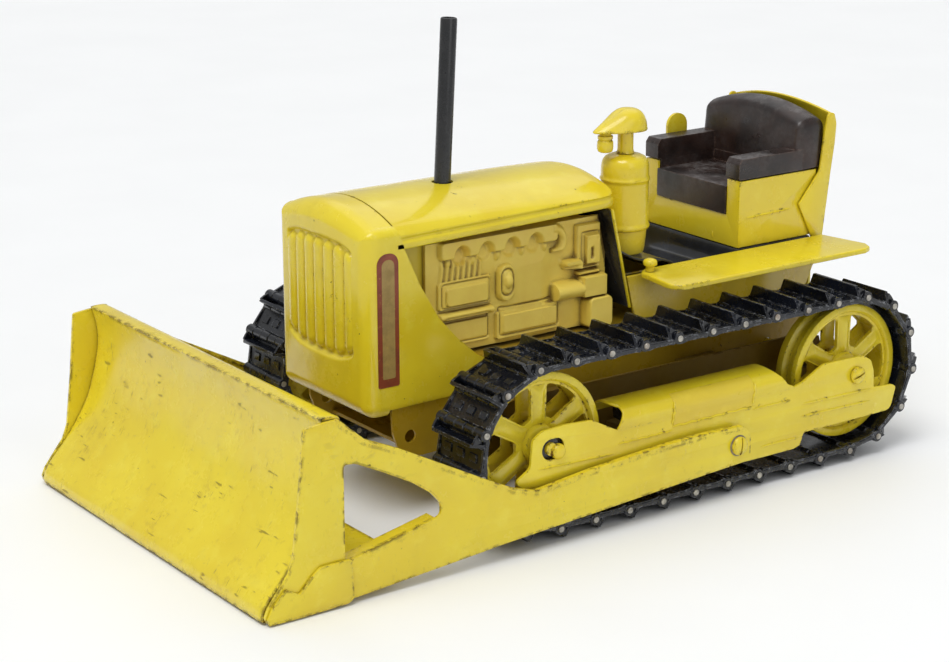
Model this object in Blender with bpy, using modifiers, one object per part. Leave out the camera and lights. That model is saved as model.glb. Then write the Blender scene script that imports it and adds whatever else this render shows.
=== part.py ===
"""Toy crawler bulldozer in pressed steel: chassis, hood and engine castings,
two track assemblies and a lifting blade on a pair of push arms.

Frame: metres, +Z up, the tracks stand on Z = 0.  The machine faces -Y, and +X
is its left-hand side.  Origin: on the ground, at the middle of the overall
length and width.  Driving dimensions are in millimetres and are scaled by MM.
"""
import math
import bpy
import bmesh
from mathutils import Matrix, Vector

MM = 0.001

# ---------------------------------------------------------------- dimensions
GAP = 0.3                      # clearance between touching pieces

# running gear
AXLE_Z = 44.8                  # height of both axles
REAR_Y = 147.9                 # driving wheel centre
FRONT_Y = -40.0                # idler wheel centre
PIN_R = 38.8                   # radius of the pin circle round a wheel
LINKS = 31                     # links in each track
GROUSER = 6.0                  # grouser tip above the pin line
TRACK_IN, TRACK_OUT = 66.2, 103.0
WHEEL_R = 33.6
WHEEL_IN, WHEEL_OUT = 77.0, 93.2
AXLE_R = 3.0
COVER_X = 101.0                # outer face of the track frame cover
INNER_X = 62.0                 # inner frame plate

# hull
HULL_X = 36.7                  # half width of the chassis
BODY_X = 38.5                  # half width of radiator, hood and rear body
HULL_Z0, HULL_Z1 = 30.0, 71.0
DECK_Z = 98.5                  # top of the fenders

# blade and arms
ARM_X = 106.2                  # outer face of the push arms
ARM_T = 1.5
PIVOT_Y, PIVOT_Z = 66.7, 26.2
BLADE_X = 104.4                # half width of the moldboard

# seat
SEAT_X = 36.4
SEAT_Y = 126.0

# ---------------------------------------------------------------- colours
YELLOW = (0.80, 0.58, 0.05, 1)
ENGINE = (0.66, 0.48, 0.13, 1)
BLACK = (0.02, 0.021, 0.025, 1)
BROWN = (0.09, 0.05, 0.04, 1)
STEEL = (0.6, 0.6, 0.58, 1)

# ---------------------------------------------------------------- scene
for ob in list(bpy.data.objects):
    bpy.data.objects.remove(ob, do_unlink=True)

parts = bpy.data.collections.new("toy_bulldozer")
bpy.context.scene.collection.children.link(parts)
cutters = bpy.data.collections.new("cutters")
bpy.context.scene.collection.children.link(cutters)


def material(name, colour, rough, metal=0.0):
    m = bpy.data.materials.new(name)
    m.use_nodes = True
    b = m.node_tree.nodes["Principled BSDF"]
    b.inputs["Base Color"].default_value = colour
    b.inputs["Roughness"].default_value = rough
    b.inputs["Metallic"].default_value = metal
    return m


FINISH = {
    "yellow": (YELLOW, 0.28, 0.0),
    "engine": (ENGINE, 0.45, 0.0),
    "black": (BLACK, 0.35, 0.0),
    "brown": (BROWN, 0.4, 0.0),
    "steel": (STEEL, 0.35, 1.0),
}


# ---------------------------------------------------------------- helpers
PLANES = {
    # local x, y, z  ->  world
    "yz": Matrix(((0, 0, 1), (1, 0, 0), (0, 1, 0))),      # thickness along X
    "xz": Matrix(((1, 0, 0), (0, 0, -1), (0, 1, 0))),     # thickness along -Y
    "xy": Matrix(((1, 0, 0), (0, 1, 0), (0, 0, 1))),      # thickness along Z
}


def clean(ob):
    """Weld loose seams and turn every face outwards."""
    bm = bmesh.new()
    bm.from_mesh(ob.data)
    bmesh.ops.remove_doubles(bm, verts=bm.verts, dist=1e-6)
    bmesh.ops.recalc_face_normals(bm, faces=bm.faces)
    bm.to_mesh(ob.data)
    bm.free()


def to_mesh(ob):
    """Evaluate an object, keep its world placing, and make it a plain mesh."""
    dg = bpy.context.evaluated_depsgraph_get()
    me = bpy.data.meshes.new_from_object(ob.evaluated_get(dg))
    me.transform(ob.matrix_world)
    name = ob.name
    bpy.data.objects.remove(ob, do_unlink=True)
    new = bpy.data.objects.new(name, me)
    parts.objects.link(new)
    clean(new)
    return new


def prism(name, outline, plane, lo, hi, holes=()):
    """A flat outline (with holes) drawn as a filled curve and given thickness."""
    cu = bpy.data.curves.new(name, "CURVE")
    cu.dimensions = "2D"
    cu.fill_mode = "BOTH"
    cu.extrude = (hi - lo) / 2 * MM
    for loop in [outline, *holes]:
        sp = cu.splines.new("POLY")
        sp.points.add(len(loop) - 1)
        for p, (a, b) in zip(sp.points, loop):
            p.co = (a * MM, b * MM, 0, 1)
        sp.use_cyclic_u = True
    ob = bpy.data.objects.new(name, cu)
    parts.objects.link(ob)
    rot = PLANES[plane].to_4x4()
    mid = (lo + hi) / 2 * MM
    if plane == "xz":
        mid = -mid
    ob.matrix_world = rot @ Matrix.Translation((0, 0, mid))
    bpy.context.view_layer.update()
    return to_mesh(ob)


def circle(cy, cz, r, n=20, start=0.0):
    return [(cy + r * math.cos(start + 2 * math.pi * i / n),
             cz + r * math.sin(start + 2 * math.pi * i / n)) for i in range(n)]


def box(name, lo, hi, bevel=0.0, seg=2):
    bpy.ops.mesh.primitive_cube_add(size=1)
    ob = bpy.context.object
    ob.name = name
    ob.scale = [(h - l) * MM for l, h in zip(lo, hi)]
    ob.location = [(l + h) / 2 * MM for l, h in zip(lo, hi)]
    bpy.ops.object.transform_apply(location=False, rotation=False, scale=True)
    if bevel:
        m = ob.modifiers.new("edge", "BEVEL")
        m.width = bevel * MM
        m.segments = seg
        m.limit_method = "ANGLE"
    bpy.context.view_layer.update()
    return to_mesh(ob)


def turned(name, profile, at, axis="z", steps=24, direction=1):
    """A turned piece. profile: (radius, height) from one end to the other."""
    me = bpy.data.meshes.new(name)
    me.from_pydata([(r * MM, 0, h * MM) for r, h in profile],
                   [(i, i + 1) for i in range(len(profile) - 1)], [])
    ob = bpy.data.objects.new(name, me)
    parts.objects.link(ob)
    m = ob.modifiers.new("turn", "SCREW")
    m.steps = steps
    m.render_steps = steps
    m.use_merge_vertices = True
    m.merge_threshold = 0.00001
    m.use_smooth_shade = True
    place = Matrix.Translation([c * MM for c in at])
    if axis == "x":
        place = place @ Matrix.Rotation(math.pi / 2 * direction, 4, "Y")
    elif axis == "y":
        place = place @ Matrix.Rotation(-math.pi / 2 * direction, 4, "X")
    ob.matrix_world = place
    bpy.context.view_layer.update()
    return to_mesh(ob)


def rod(name, r, x0, x1, y, z, steps=20):
    return turned(name, [(0, x0), (r, x0), (r, x1), (0, x1)], (0, y, z), "x", steps)


def boolean(ob, others, op):
    """Join, cut or intersect, with the exact solver, and bake the result."""
    name = ob.name
    for o in others:
        for c in list(o.users_collection):
            c.objects.unlink(o)
        cutters.objects.link(o)
        o.hide_render = True
        o.display_type = "WIRE"
        m = ob.modifiers.new(op, "BOOLEAN")
        m.operation = op
        m.solver = "EXACT"
        m.object = o
    bpy.context.view_layer.update()
    dg = bpy.context.evaluated_depsgraph_get()
    me = bpy.data.meshes.new_from_object(ob.evaluated_get(dg))
    me.transform(ob.matrix_world)
    bpy.data.objects.remove(ob, do_unlink=True)
    for o in others:
        bpy.data.objects.remove(o, do_unlink=True)
    new = bpy.data.objects.new(name, me)
    parts.objects.link(new)
    clean(new)
    return new


def join(ob, *others):
    return boolean(ob, others, "UNION")


def cut(ob, *others):
    return boolean(ob, others, "DIFFERENCE")


def common(ob, *others):
    return boolean(ob, others, "INTERSECT")


def finish(ob, kind, pivot=None):
    """Give a piece its own material, and put a moving piece's origin on its axis."""
    colour, rough, metal = FINISH[kind]
    ob.data.materials.clear()
    ob.data.materials.append(material(ob.name, colour, rough, metal))
    bpy.context.view_layer.objects.active = ob
    ob.data.shade_smooth()
    ob.data.set_sharp_from_angle(angle=math.radians(32))
    if pivot:
        v = Vector(pivot) * MM
        ob.data.transform(Matrix.Translation(-v))
        ob.location = v
    return ob


def mirror_copy(ob, name):
    """The same piece on the other side of the machine, as a piece of its own."""
    me = ob.data.copy()
    me.transform(ob.matrix_world)
    me.transform(Matrix.Scale(-1, 4, (1, 0, 0)))
    new = bpy.data.objects.new(name, me)
    parts.objects.link(new)
    clean(new)
    return new


def both_sides(base, ob, kind, pivot=None):
    """Finish a left-hand piece and make its right-hand twin."""
    ob.name = base + "_left"
    twin = mirror_copy(ob, base + "_right")
    finish(ob, kind, pivot)
    finish(twin, kind, (-pivot[0], pivot[1], pivot[2]) if pivot else None)


def arc(cx, cy, r, a0, a1, n):
    return [(cx + r * math.cos(math.radians(a0 + (a1 - a0) * i / n)),
             cy + r * math.sin(math.radians(a0 + (a1 - a0) * i / n))) for i in range(n + 1)]


# ================================================================ tracks
D = REAR_Y - FRONT_Y
LOOP = 2 * D + 2 * math.pi * PIN_R
PITCH = LOOP / LINKS
PHASE = 13.0                   # first pin behind the front wheel's top


def on_track(s, n):
    """Point at distance s along the pin line, n mm outside it (side view)."""
    s %= LOOP
    half = math.pi * PIN_R
    r = PIN_R + n
    if s < D:
        return (FRONT_Y + s, AXLE_Z + r)
    s -= D
    if s < half:
        a = math.pi / 2 - s / PIN_R
        return (REAR_Y + r * math.cos(a), AXLE_Z + r * math.sin(a))
    s -= half
    if s < D:
        return (REAR_Y - s, AXLE_Z - r)
    s -= D
    a = -math.pi / 2 - s / PIN_R
    return (FRONT_Y + r * math.cos(a), AXLE_Z + r * math.sin(a))


SHOE = [(0.0, 1.6), (7.0, 1.6), (14.2, 1.6), (15.7, GROUSER), (17.5, GROUSER), (18.8, 1.6)]
outer = [on_track(PHASE + i * PITCH + t, n) for i in range(LINKS) for t, n in SHOE]
inner = [on_track(LOOP * i / 62, -3.4) for i in range(62)]
track = prism("track", outer, "yz", TRACK_IN, TRACK_OUT, holes=[inner])
both_sides("track", track, "black")

# ================================================================ wheels


def wheel(name, y):
    """Double-flanged wheel with a spoked outer disc: six spokes."""
    prof = [(AXLE_R + 0.3, WHEEL_IN), (AXLE_R + 0.3, WHEEL_OUT + 0.6), (8.5, WHEEL_OUT + 0.6),
            (10.0, WHEEL_OUT - 2.2), (29.2, WHEEL_OUT - 2.2), (30.0, WHEEL_OUT),
            (WHEEL_R, WHEEL_OUT - 0.6), (WHEEL_R, WHEEL_OUT - 2.6), (30.6, WHEEL_OUT - 4.0),
            (30.6, WHEEL_IN + 3.4), (WHEEL_R, WHEEL_IN + 2.0), (WHEEL_R, WHEEL_IN),
            (28.5, WHEEL_IN), (28.5, WHEEL_OUT - 4.6), (9.0, WHEEL_OUT - 4.6),
            (8.0, WHEEL_IN), (AXLE_R + 0.3, WHEEL_IN)]
    w = turned(name, prof, (0, y, AXLE_Z), "x", 28)
    windows = []
    for k in range(6):
        a = math.radians(60 * k + 30 + 30)
        pts = []
        half_out, half_in = math.radians(20.5), math.radians(13.0)
        r_out, r_in = 26.6, 13.0
        n = 4
        for i in range(n + 1):
            t = a - half_out + 2 * half_out * i / n
            pts.append((y + r_out * math.cos(t), AXLE_Z + r_out * math.sin(t)))
        for i in range(3):
            t = a + half_in - 2 * half_in * i / 2
            pts.append((y + r_in * math.cos(t), AXLE_Z + r_in * math.sin(t)))
        windows.append(prism("window", pts, "yz", WHEEL_OUT - 7, WHEEL_OUT + 3))
    return cut(w, *windows)


for base, y in (("drive_wheel", REAR_Y), ("idler_wheel", FRONT_Y)):
    both_sides(base, wheel(base, y), "yellow", ((WHEEL_IN + WHEEL_OUT) / 2, y, AXLE_Z))

# ================================================================ axles
# Each axle is one steel rod through both track frames.
def axle(name, y, head_r, head_h):
    """Steel rod, peened over into a domed head at each end."""
    x = COVER_X + GAP
    end = [(AXLE_R, x), (head_r, x), (head_r, x + 0.35 * head_h), (0.8 * head_r, x + 0.8 * head_h),
           (0.45 * head_r, x + head_h), (0, x + head_h)]
    prof = [(r, -h) for r, h in reversed(end)] + end
    finish(turned(name, prof, (0, y, AXLE_Z), "x", 16), "steel")


axle("rear_axle", REAR_Y, 4.3, 2.6)
axle("front_axle", FRONT_Y, 4.2, 2.0)

# ================================================================ track frames
# Outer cover plate, flat, with the rolled guard between the wheels joined to it.
plate_pts = ([(-51.2, 46.0), (-50.0, 50.5), (-47.4, 53.0), (-43.1, 54.3), (-32.4, 54.9), (-17.3, 54.0),
              (-2.8, 46.4), (106.6, 46.2), (112.3, 47.7), (125.5, 54.2), (151.8, 53.6), (156.4, 51.1),
              (159.3, 46.1), (160.0, 36.6), (161.6, 35.6), (173.2, 35.0), (175.6, 34.0), (170.7, 22.1),
              (154.6, 21.9), (113.6, 21.7), (111.7, 16.3), (107.5, 14.6), (85.7, 14.5), (60.0, 14.8),
              (40.0, 18.0), (0.0, 24.0), (-30.0, 30.0), (-44.0, 34.0), (-49.2, 38.0), (-50.9, 42.0)])
slot = ([(FRONT_Y - 6.5 + 3.6 * math.cos(math.radians(a)), AXLE_Z + 3.6 * math.sin(math.radians(a)))
         for a in range(90, 271, 20)] +
        [(FRONT_Y + 3.4 * math.cos(math.radians(a)), AXLE_Z + 3.6 * math.sin(math.radians(a)))
         for a in range(-90, 91, 20)])
cover = prism("cover", plate_pts, "yz", COVER_X - 1.4, COVER_X,
              holes=[slot, circle(REAR_Y, AXLE_Z, AXLE_R + 0.3), circle(PIVOT_Y, PIVOT_Z, 2.9)])
guard_outer = [(101.0, 43.0), (101.0, 45.0), (101.9, 48.0), (101.9, 51.0), (100.4, 53.8), (97.7, 56.0),
               (92.5, 57.5), (86.7, 57.0), (82.5, 54.5), (80.2, 50.5)]
guard_inner = [(81.6, 50.2), (83.6, 53.6), (87.2, 55.7), (92.3, 56.1), (97.0, 54.7), (99.3, 52.9),
               (100.5, 50.6), (100.5, 48.3), (99.6, 45.0), (99.6, 43.0)]
guard = prism("guard", guard_outer + guard_inner, "xz", -8.0, 112.0)
guard_side = [(-2.8, 42.5), (-2.8, 46.4), (-1.5, 51.5), (-4.0, 56.0), (-6.5, 58.8), (88.0, 58.8), (92.7, 57.6),
              (97.9, 53.1), (101.6, 48.6), (106.6, 46.2), (106.6, 42.5)]
guard = common(guard, prism("gs", guard_side, "yz", 70, 110))
cover = join(cover, guard)
both_sides("track_frame_cover", cover, "yellow")

inner_pts = [(-52.0, 40.0), (-48.0, 54.0), (-30.0, 57.0), (140.0, 57.0), (158.0, 54.0), (162.0, 40.0),
             (158.0, 30.0), (140.0, 24.0), (-30.0, 24.0), (-48.0, 30.0)]
inner_plate = prism("inner", inner_pts, "yz", INNER_X, INNER_X + 1.5,
                    holes=[circle(REAR_Y, AXLE_Z, AXLE_R + 0.3), circle(FRONT_Y, AXLE_Z, AXLE_R + 0.3)])
# Stays reach in to the chassis, and spacer blocks reach out to the cover.
for y in (12.0, 98.0):
    inner_plate = join(inner_plate, box("s", (HULL_X + GAP, y - 12, 42.0), (INNER_X + 0.8, y + 12, 48.0)))
for y in (26.0, 84.0):
    inner_plate = join(inner_plate, box("s", (INNER_X + 0.8, y - 5, 28.0), (COVER_X - 1.7, y + 5, 36.0)))
both_sides("track_frame_inner", inner_plate, "yellow")
# Spacer tubes that hold the wheels across the track.
for base, y in (("rear_hub_spacer", REAR_Y), ("front_hub_spacer", FRONT_Y)):
    tube = turned("t", [(AXLE_R + 0.25, INNER_X + 1.8), (5.0, INNER_X + 1.8), (5.0, WHEEL_IN - 0.4),
                        (AXLE_R + 0.25, WHEEL_IN - 0.4), (AXLE_R + 0.25, INNER_X + 1.8)],
                  (0, y, AXLE_Z), "x", 20)
    both_sides(base, tube, "steel")

# ================================================================ chassis
side_pts = [(-82.6, 51.0), (-82.0, 42.0), (-79.0, 34.0), (-74.0, 30.4), (-66.0, 29.2), (-40.0, HULL_Z0),
            (176.0, HULL_Z0), (176.0, HULL_Z1), (-50.0, HULL_Z1), (-82.6, 62.0)]
side = prism("side", side_pts, "yz", HULL_X - 1.5, HULL_X,
             holes=[circle(REAR_Y, AXLE_Z, AXLE_R + 0.3), circle(FRONT_Y, AXLE_Z, AXLE_R + 0.3),
                    circle(-72.6, 39.6, 3.1)])
both_sides("chassis_side", side, "yellow")
finish(box("chassis_deck", (-HULL_X + 1.8, -80, HULL_Z1 - 1.8), (HULL_X - 1.8, 174.0, HULL_Z1), 0), "yellow")
finish(box("chassis_floor", (-HULL_X + 1.8, -70, HULL_Z0 + 1), (HULL_X - 1.8, 174.0, HULL_Z0 + 2.6), 0), "yellow")

# ================================================================ radiator and hood
CROWN = 146.8


def crown(x, drop=0.0):
    return CROWN - 0.0062 * x * x - drop


def crown_profile(half, drop, z0, shoulder):
    """Front view of the hood: crowned top, rounded shoulders, straight sides."""
    pts = [(-half, z0)]
    xs = half - shoulder
    zt = crown(xs, drop)
    pts += [(-xs - shoulder * math.sin(math.radians(a)),
             zt - shoulder + shoulder * math.cos(math.radians(a)) * 1.0) for a in (90, 65, 40, 18)]
    n = 10
    pts += [(-xs + 2 * xs * i / n, crown(-xs + 2 * xs * i / n, drop)) for i in range(n + 1)]
    pts += [(xs + shoulder * math.sin(math.radians(a)),
             zt - shoulder + shoulder * math.cos(math.radians(a))) for a in (18, 40, 65, 90)]
    pts += [(half, z0)]
    return pts


def bowed_front(half, inset, y_back):
    """Plan view of the radiator: bowed front, rounded front corners."""
    r = 8.0
    pts = [(-half, y_back)]
    pts += [(-half + r - r * math.cos(math.radians(a)), -89.0 + inset - r * math.sin(math.radians(a)))
            for a in (0, 22, 45, 68)]
    n = 8
    xs = half - r
    pts += [(-xs + 2 * xs * i / n, -97.0 + inset - 1.6 * (1 - (2 * i / n - 1) ** 2)) for i in range(n + 1)]
    pts += [(half - r + r * math.cos(math.radians(a)), -89.0 + inset - r * math.sin(math.radians(a)))
            for a in (68, 45, 22, 0)]
    pts += [(half, y_back)]
    return pts


def radiator_block(inset, name):
    half = BODY_X - inset
    low = 51.0 if inset == 0 else 45.0
    a = prism(name, crown_profile(half, inset, low - 2, 5.0), "xz", -105, -20)
    b = prism("plan", bowed_front(half, inset, -10), "xy", 40, 160)
    nose = [(-99.0 + inset, 128.0), (-98.2 + inset, 134.0), (-95.8 + inset, 139.2), (-92.0 + inset, 142.6),
            (-86.0 + inset, 145.6 - inset), (-80.0, 148.0 - inset)]
    if inset == 0:
        side = ([(-99.0, 58.0), (-97.6, 54.0), (-94.0, 51.4), (-90.0, low), (-24.0, low), (-24.0, 66.0),
                 (-36.3, 73.0), (-47.0, 82.5), (-57.5, 93.9), (-67.8, 111.4), (-75.4, 128.0), (-77.0, 133.0),
                 (-80.2, 140.5), (-80.2, 148.0)] + nose[:-1][::-1])
    else:
        side = [(-97.5, low - 2), (-10.0, low - 2), (-10.0, 148.0)] + nose[::-1]
    c = prism("side", side, "yz", -60, 60)
    return common(a, b, c)


shell = radiator_block(0.0, "radiator_shell")
finish(cut(shell, radiator_block(1.6, "void")), "yellow")

hood_side = [(-74.9, 128.9), (44.0, 131.0), (50.5, 132.4), (52.6, 135.5), (51.6, 139.0), (47.5, 143.2),
             (40.0, 146.0), (28.0, 147.4), (-79.9, 147.4), (-79.9, 140.8), (-76.6, 133.2)]
hood_plan = [(-BODY_X, -79.9), (BODY_X, -79.9), (BODY_X, 38.0), (37.6, 44.0), (34.0, 48.5), (26.0, 51.2),
             (12.0, 52.4), (-12.0, 52.4), (-26.0, 51.2), (-34.0, 48.5), (-37.6, 44.0), (-BODY_X, 38.0)]
hood = common(prism("hood", crown_profile(BODY_X, 0.0, 120, 5.0), "xz", -79.9, 60),
              prism("hp", hood_plan, "xy", 100, 160), prism("hs", hood_side, "yz", -60, 60))
void_side = [(-90.0, 120.0), (49.0, 120.0), (50.6, 134.5), (49.0, 138.5), (46.0, 141.6),
             (39.0, 144.2), (28.0, 145.6), (-90.0, 145.6)]
void_plan = [(-36.9, -95), (36.9, -95), (36.9, 37.0), (36.0, 43.2), (32.8, 47.2), (25.5, 49.8),
             (11.0, 50.8), (-11.0, 50.8), (-25.5, 49.8), (-32.8, 47.2), (-36.0, 43.2), (-36.9, 37.0)]
hood_void = common(prism("void", crown_profile(BODY_X - 1.6, 1.6, 110, 5.0), "xz", -95, 60),
                   prism("hp", void_plan, "xy", 100, 160), prism("hs", void_side, "yz", -60, 60))
STACK_Y = -28.6
stack_hole = turned("hole", [(0, 130), (5.0, 130), (5.0, 160), (0, 160)], (0, STACK_Y, 0), "z", 24)
finish(cut(hood, hood_void, stack_hole), "yellow")

# Firewall behind the engine, leaning with its top forward.
fw = prism("firewall", [(43.3, 129.4), (44.7, 129.4), (56.2, 80.0), (54.8, 80.0)], "yz", -38.2, 38.2)
finish(fw, "yellow")

# ================================================================ engine
finish(box("engine_block", (-25.5, -62.0, HULL_Z1 + GAP), (25.5, 42.0, 124.0), 1.0), "engine")

RELIEF_X = 25.8


def pad(y0, z0, y1, z1, depth, bevel=0):
    return box("pad", (RELIEF_X + 0.9, y0, z0), (RELIEF_X + 1.2 + depth, y1, z1), bevel, 1)


relief = prism("relief", [(-58.0, 72.6), (54.0, 72.6), (41.8, 126.0), (-58.0, 126.0)], "yz", RELIEF_X, RELIEF_X + 1.5)
relief = join(relief,
              pad(-52, 92.5, -21, 107.5, 4.0), pad(-49, 95.5, -24, 104.2, 5.2),
              pad(-51.5, 86.5, -20.5, 91.6, 5.0), pad(-49, 75.4, -22, 85.6, 2.4),
              pad(-19.5, 75.4, 18.0, 88.0, 4.4), pad(-16.5, 78.0, 16.0, 86.0, 5.4),
              pad(-50.0, 120.0, 21.0, 125.0, 5.5, 1.2),
              pad(13.8, 88.0, 30.0, 97.0, 8.0, 2.0), pad(29.5, 88.6, 44.0, 98.4, 8.4),
              pad(31.8, 74.0, 46.0, 88.0, 9.4), pad(27.4, 102.5, 41.8, 123.4, 5.0),
              pad(31.2, 104.0, 40.8, 119.0, 7.0), pad(17.5, 100.0, 29.0, 108.0, 6.0))
pump = turned("pump", [(0, RELIEF_X + 0.9), (6.0, RELIEF_X + 0.9), (6.0, RELIEF_X + 6.0), (4.6, RELIEF_X + 7.4),
                       (0, RELIEF_X + 7.8)], (0, -14.0, 105.0), "x", 14)
pump2 = turned("pump", [(0, RELIEF_X + 0.9), (6.0, RELIEF_X + 0.9), (6.0, RELIEF_X + 5.0), (4.6, RELIEF_X + 6.4),
                        (0, RELIEF_X + 6.8)], (0, -14.6, 98.6), "x", 14)
relief = join(relief, pump, pump2)
both_sides("engine_relief", relief, "engine")

# ================================================================ exhaust stack
lean = math.radians(3.2)
stack = turned("exhaust_stack", [(0, 124.5), (4.0, 124.5), (4.0, 222.6), (3.4, 223.8), (2.5, 223.8), (2.5, 214.0),
                                 (0, 214.0)], (0, 0, 0), "z", 24)
about = Matrix.Translation((0, (STACK_Y) * MM, 146.0 * MM))
stack.data.transform(about @ Matrix.Rotation(-lean, 4, "X") @ Matrix.Translation((0, 0, -146.0 * MM)))
finish(stack, "black")

# ================================================================ rear body
body_side = [(58.4, HULL_Z1 + GAP), (170.5, HULL_Z1 + GAP), (177.0, 85.0), (177.4, 96.0), (53.0, 96.0), (57.0, 79.0)]
both_sides("body_side", prism("bs", body_side, "yz", BODY_X - 1.4, BODY_X), "yellow")
finish(prism("body_rear", [(-36.6, HULL_Z1 + GAP), (36.6, HULL_Z1 + GAP), (36.6, 94.6), (-36.6, 94.6)],
             "xz", 175.0, 176.4), "yellow")

# Pressed floor: toe board, trough, riser and the deck under the seat, one sheet.
top = [(51.2, 108.6), (55.0, 106.2), (60.0, 103.8), (66.0, 102.0), (78.0, 100.6), (84.0, 98.0), (90.0, 92.2),
       (95.0, 88.0), (101.0, 86.2), (118.0, 86.0), (122.0, 87.2), (124.2, 90.0), (124.8, 94.0), (124.8, 98.2),
       (174.6, 98.2)]
under = [(174.6, 97.0), (126.0, 97.0), (126.0, 93.6), (125.2, 89.2), (122.8, 86.2), (118.4, 84.8), (100.6, 85.0),
         (94.2, 87.0), (89.0, 91.2), (83.2, 96.8), (77.4, 99.4), (65.6, 100.8), (59.4, 102.6), (54.4, 105.0),
         (51.2, 107.2)]
finish(prism("floor_plate", top + under, "yz", -36.7, 36.7), "black")

# Fenders over the tracks, flat with a turned-down edge.
fender_pts = [(38.9, 62.5), (42.8, 58.2), (66.0, 54.6), (70.8, 55.2), (73.4, 58.8), (73.8, 64.0), (73.8, 176.0),
              (71.8, 181.6), (66.5, 186.4), (61.0, 186.8), (40.0, 180.6), (38.9, 179.0)]
fender = prism("fender", fender_pts, "xy", 96.9, DECK_Z)
lip_in = [(38.0, 64.5), (43.6, 60.0), (66.0, 56.4), (69.8, 57.0), (71.8, 59.8), (72.2, 64.6), (72.2, 175.4),
          (70.6, 180.4), (65.8, 184.9), (61.0, 185.2), (41.0, 179.4), (38.0, 177.0)]
lip = cut(prism("lip", fender_pts, "xy", 95.2, 97.4), prism("l", lip_in, "xy", 94, 98.5),
          box("b", (36, 63, 94), (40.4, 179.3, 98.5)))
both_sides("fender", join(fender, lip), "yellow")

# Round-headed filler knobs at the front corners of the floor.
both_sides("filler_knob", turned("k", [(0, 96.4), (2.2, 96.4), (2.2, 99.0), (3.4, 99.6), (3.4, 101.4), (2.2, 102.4),
                                       (0, 102.6)], (35.0, 0, 0), "z", 16), "yellow")
for side_name, sx in (("left", 1), ("right", -1)):
    ob = bpy.data.objects["filler_knob_" + side_name]
    # beside the toe board, standing on the fender's front tab
    ob.data.transform(Matrix.Translation((sx * 9.6 * MM, 62.0 * MM, 2.4 * MM)))

# ================================================================ air cleaner
AC = (17.0, 68.0)
finish(turned("cleaner_cup", [(0, 102.7), (3.0, 102.7), (3.0, 105.4), (10.0, 105.4), (10.8, 112.6), (10.8, 114.0), (0, 114.0)],
              (*AC, 0), "z", 20),
       "yellow")
finish(turned("cleaner_canister",
              [(0, 114.3), (11.2, 114.3), (12.3, 115.6), (12.0, 117.0), (12.0, 146.0), (11.0, 148.6), (8.4, 150.6),
               (4.6, 151.4), (0, 151.4)], (*AC, 0), "z", 24), "yellow")
finish(turned("cleaner_neck", [(0, 151.7), (3.9, 151.7), (3.9, 162.6), (0, 162.6)], (*AC, 0), "z", 20), "yellow")
# Cap: a dome drawn out to a point at the front.
bpy.ops.mesh.primitive_uv_sphere_add(segments=20, ring_count=10, radius=1.0)
cap = bpy.context.object
cap.name = "cleaner_cap"
bm = bmesh.new()
bm.from_mesh(cap.data)
for v in bm.verts:
    x, y, z = v.co
    stretch = 21.0 if y < 0 else 9.6
    taper = 1.0 - 0.35 * max(0.0, -y) ** 1.5
    height = 9.4 if z > 0 else 1.2
    v.co = Vector((x * 9.8 * taper, y * stretch, z * height * (1.0 - 0.30 * max(0.0, -y)))) * MM
bm.to_mesh(cap.data)
bm.free()
cap.location = Vector((AC[0], AC[1] + 1.0, 164.2)) * MM
bpy.context.view_layer.update()
cap = to_mesh(cap)
finish(cap, "yellow")
finish(turned("cleaner_jar", [(0, 152.6), (3.0, 152.6), (3.9, 154.4), (3.9, 160.0), (2.6, 161.6), (2.6, 162.5), (0, 162.5)],
              (AC[0], 55.6, 0), "z", 16), "yellow")

# ================================================================ seat
front_panel = prism("fp", [(-SEAT_X, 98.5), (SEAT_X, 98.5), (SEAT_X, 132.6), (26.9, 132.6), (26.9, 114.0),
                           (-26.9, 114.0), (-26.9, 132.6), (-SEAT_X, 132.6)], "xz", SEAT_Y, SEAT_Y + 1.3)
side_panel = [(SEAT_Y + 0.6, 98.7), (174.4, 98.7), (165.8, 115.9), (177.6, 129.6), (177.6, 132.4), (SEAT_Y + 0.6, 132.4)]
left = prism("sl", side_panel, "yz", SEAT_X - 1.4, SEAT_X - 0.1)
right = prism("sr", side_panel, "yz", -SEAT_X + 0.1, -SEAT_X + 1.4)
finish(join(front_panel, left, right), "yellow")
bpy.data.objects["fp"].name = "seat_base"

# Back shell: rear sheet with an arched top and a wing down each side.
arch = ([(-37.8, 98.5), (37.8, 98.5), (37.8, 155.0)] + [(38.5 - 3.2 * i, 159.4 + 6.0 * (1 - ((38.5 - 3.2 * i) / 38.5) ** 2))
        for i in range(0, 25)][1:-1] + [(-37.8, 155.0)])
rear_prof = [(180.8, 98.5), (182.4, 98.5), (186.3, 129.0), (188.6, 145.0), (189.3, 155.0), (187.6, 161.5), (185.4, 166.0),
             (183.6, 166.0), (186.0, 160.8), (187.7, 154.8), (187.0, 145.2), (184.7, 129.2)]
rear_sheet = common(prism("back", arch, "xz", 170, 195), prism("rp", rear_prof, "yz", -40, 40))
wing_pts = [(175.6, 98.5), (182.4, 98.5), (186.3, 129.0), (188.6, 145.0), (189.3, 155.0), (187.4, 161.0), (184.0, 160.4),
            (182.0, 156.0), (178.9, 131.5), (165.1, 115.9)]
wl = prism("wl", wing_pts, "yz", 36.7, 37.8)
wr = prism("wr", wing_pts, "yz", -37.8, -36.7)
finish(join(rear_sheet, wl, wr), "yellow")
bpy.data.objects["back"].name = "seat_back_shell"

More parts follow.
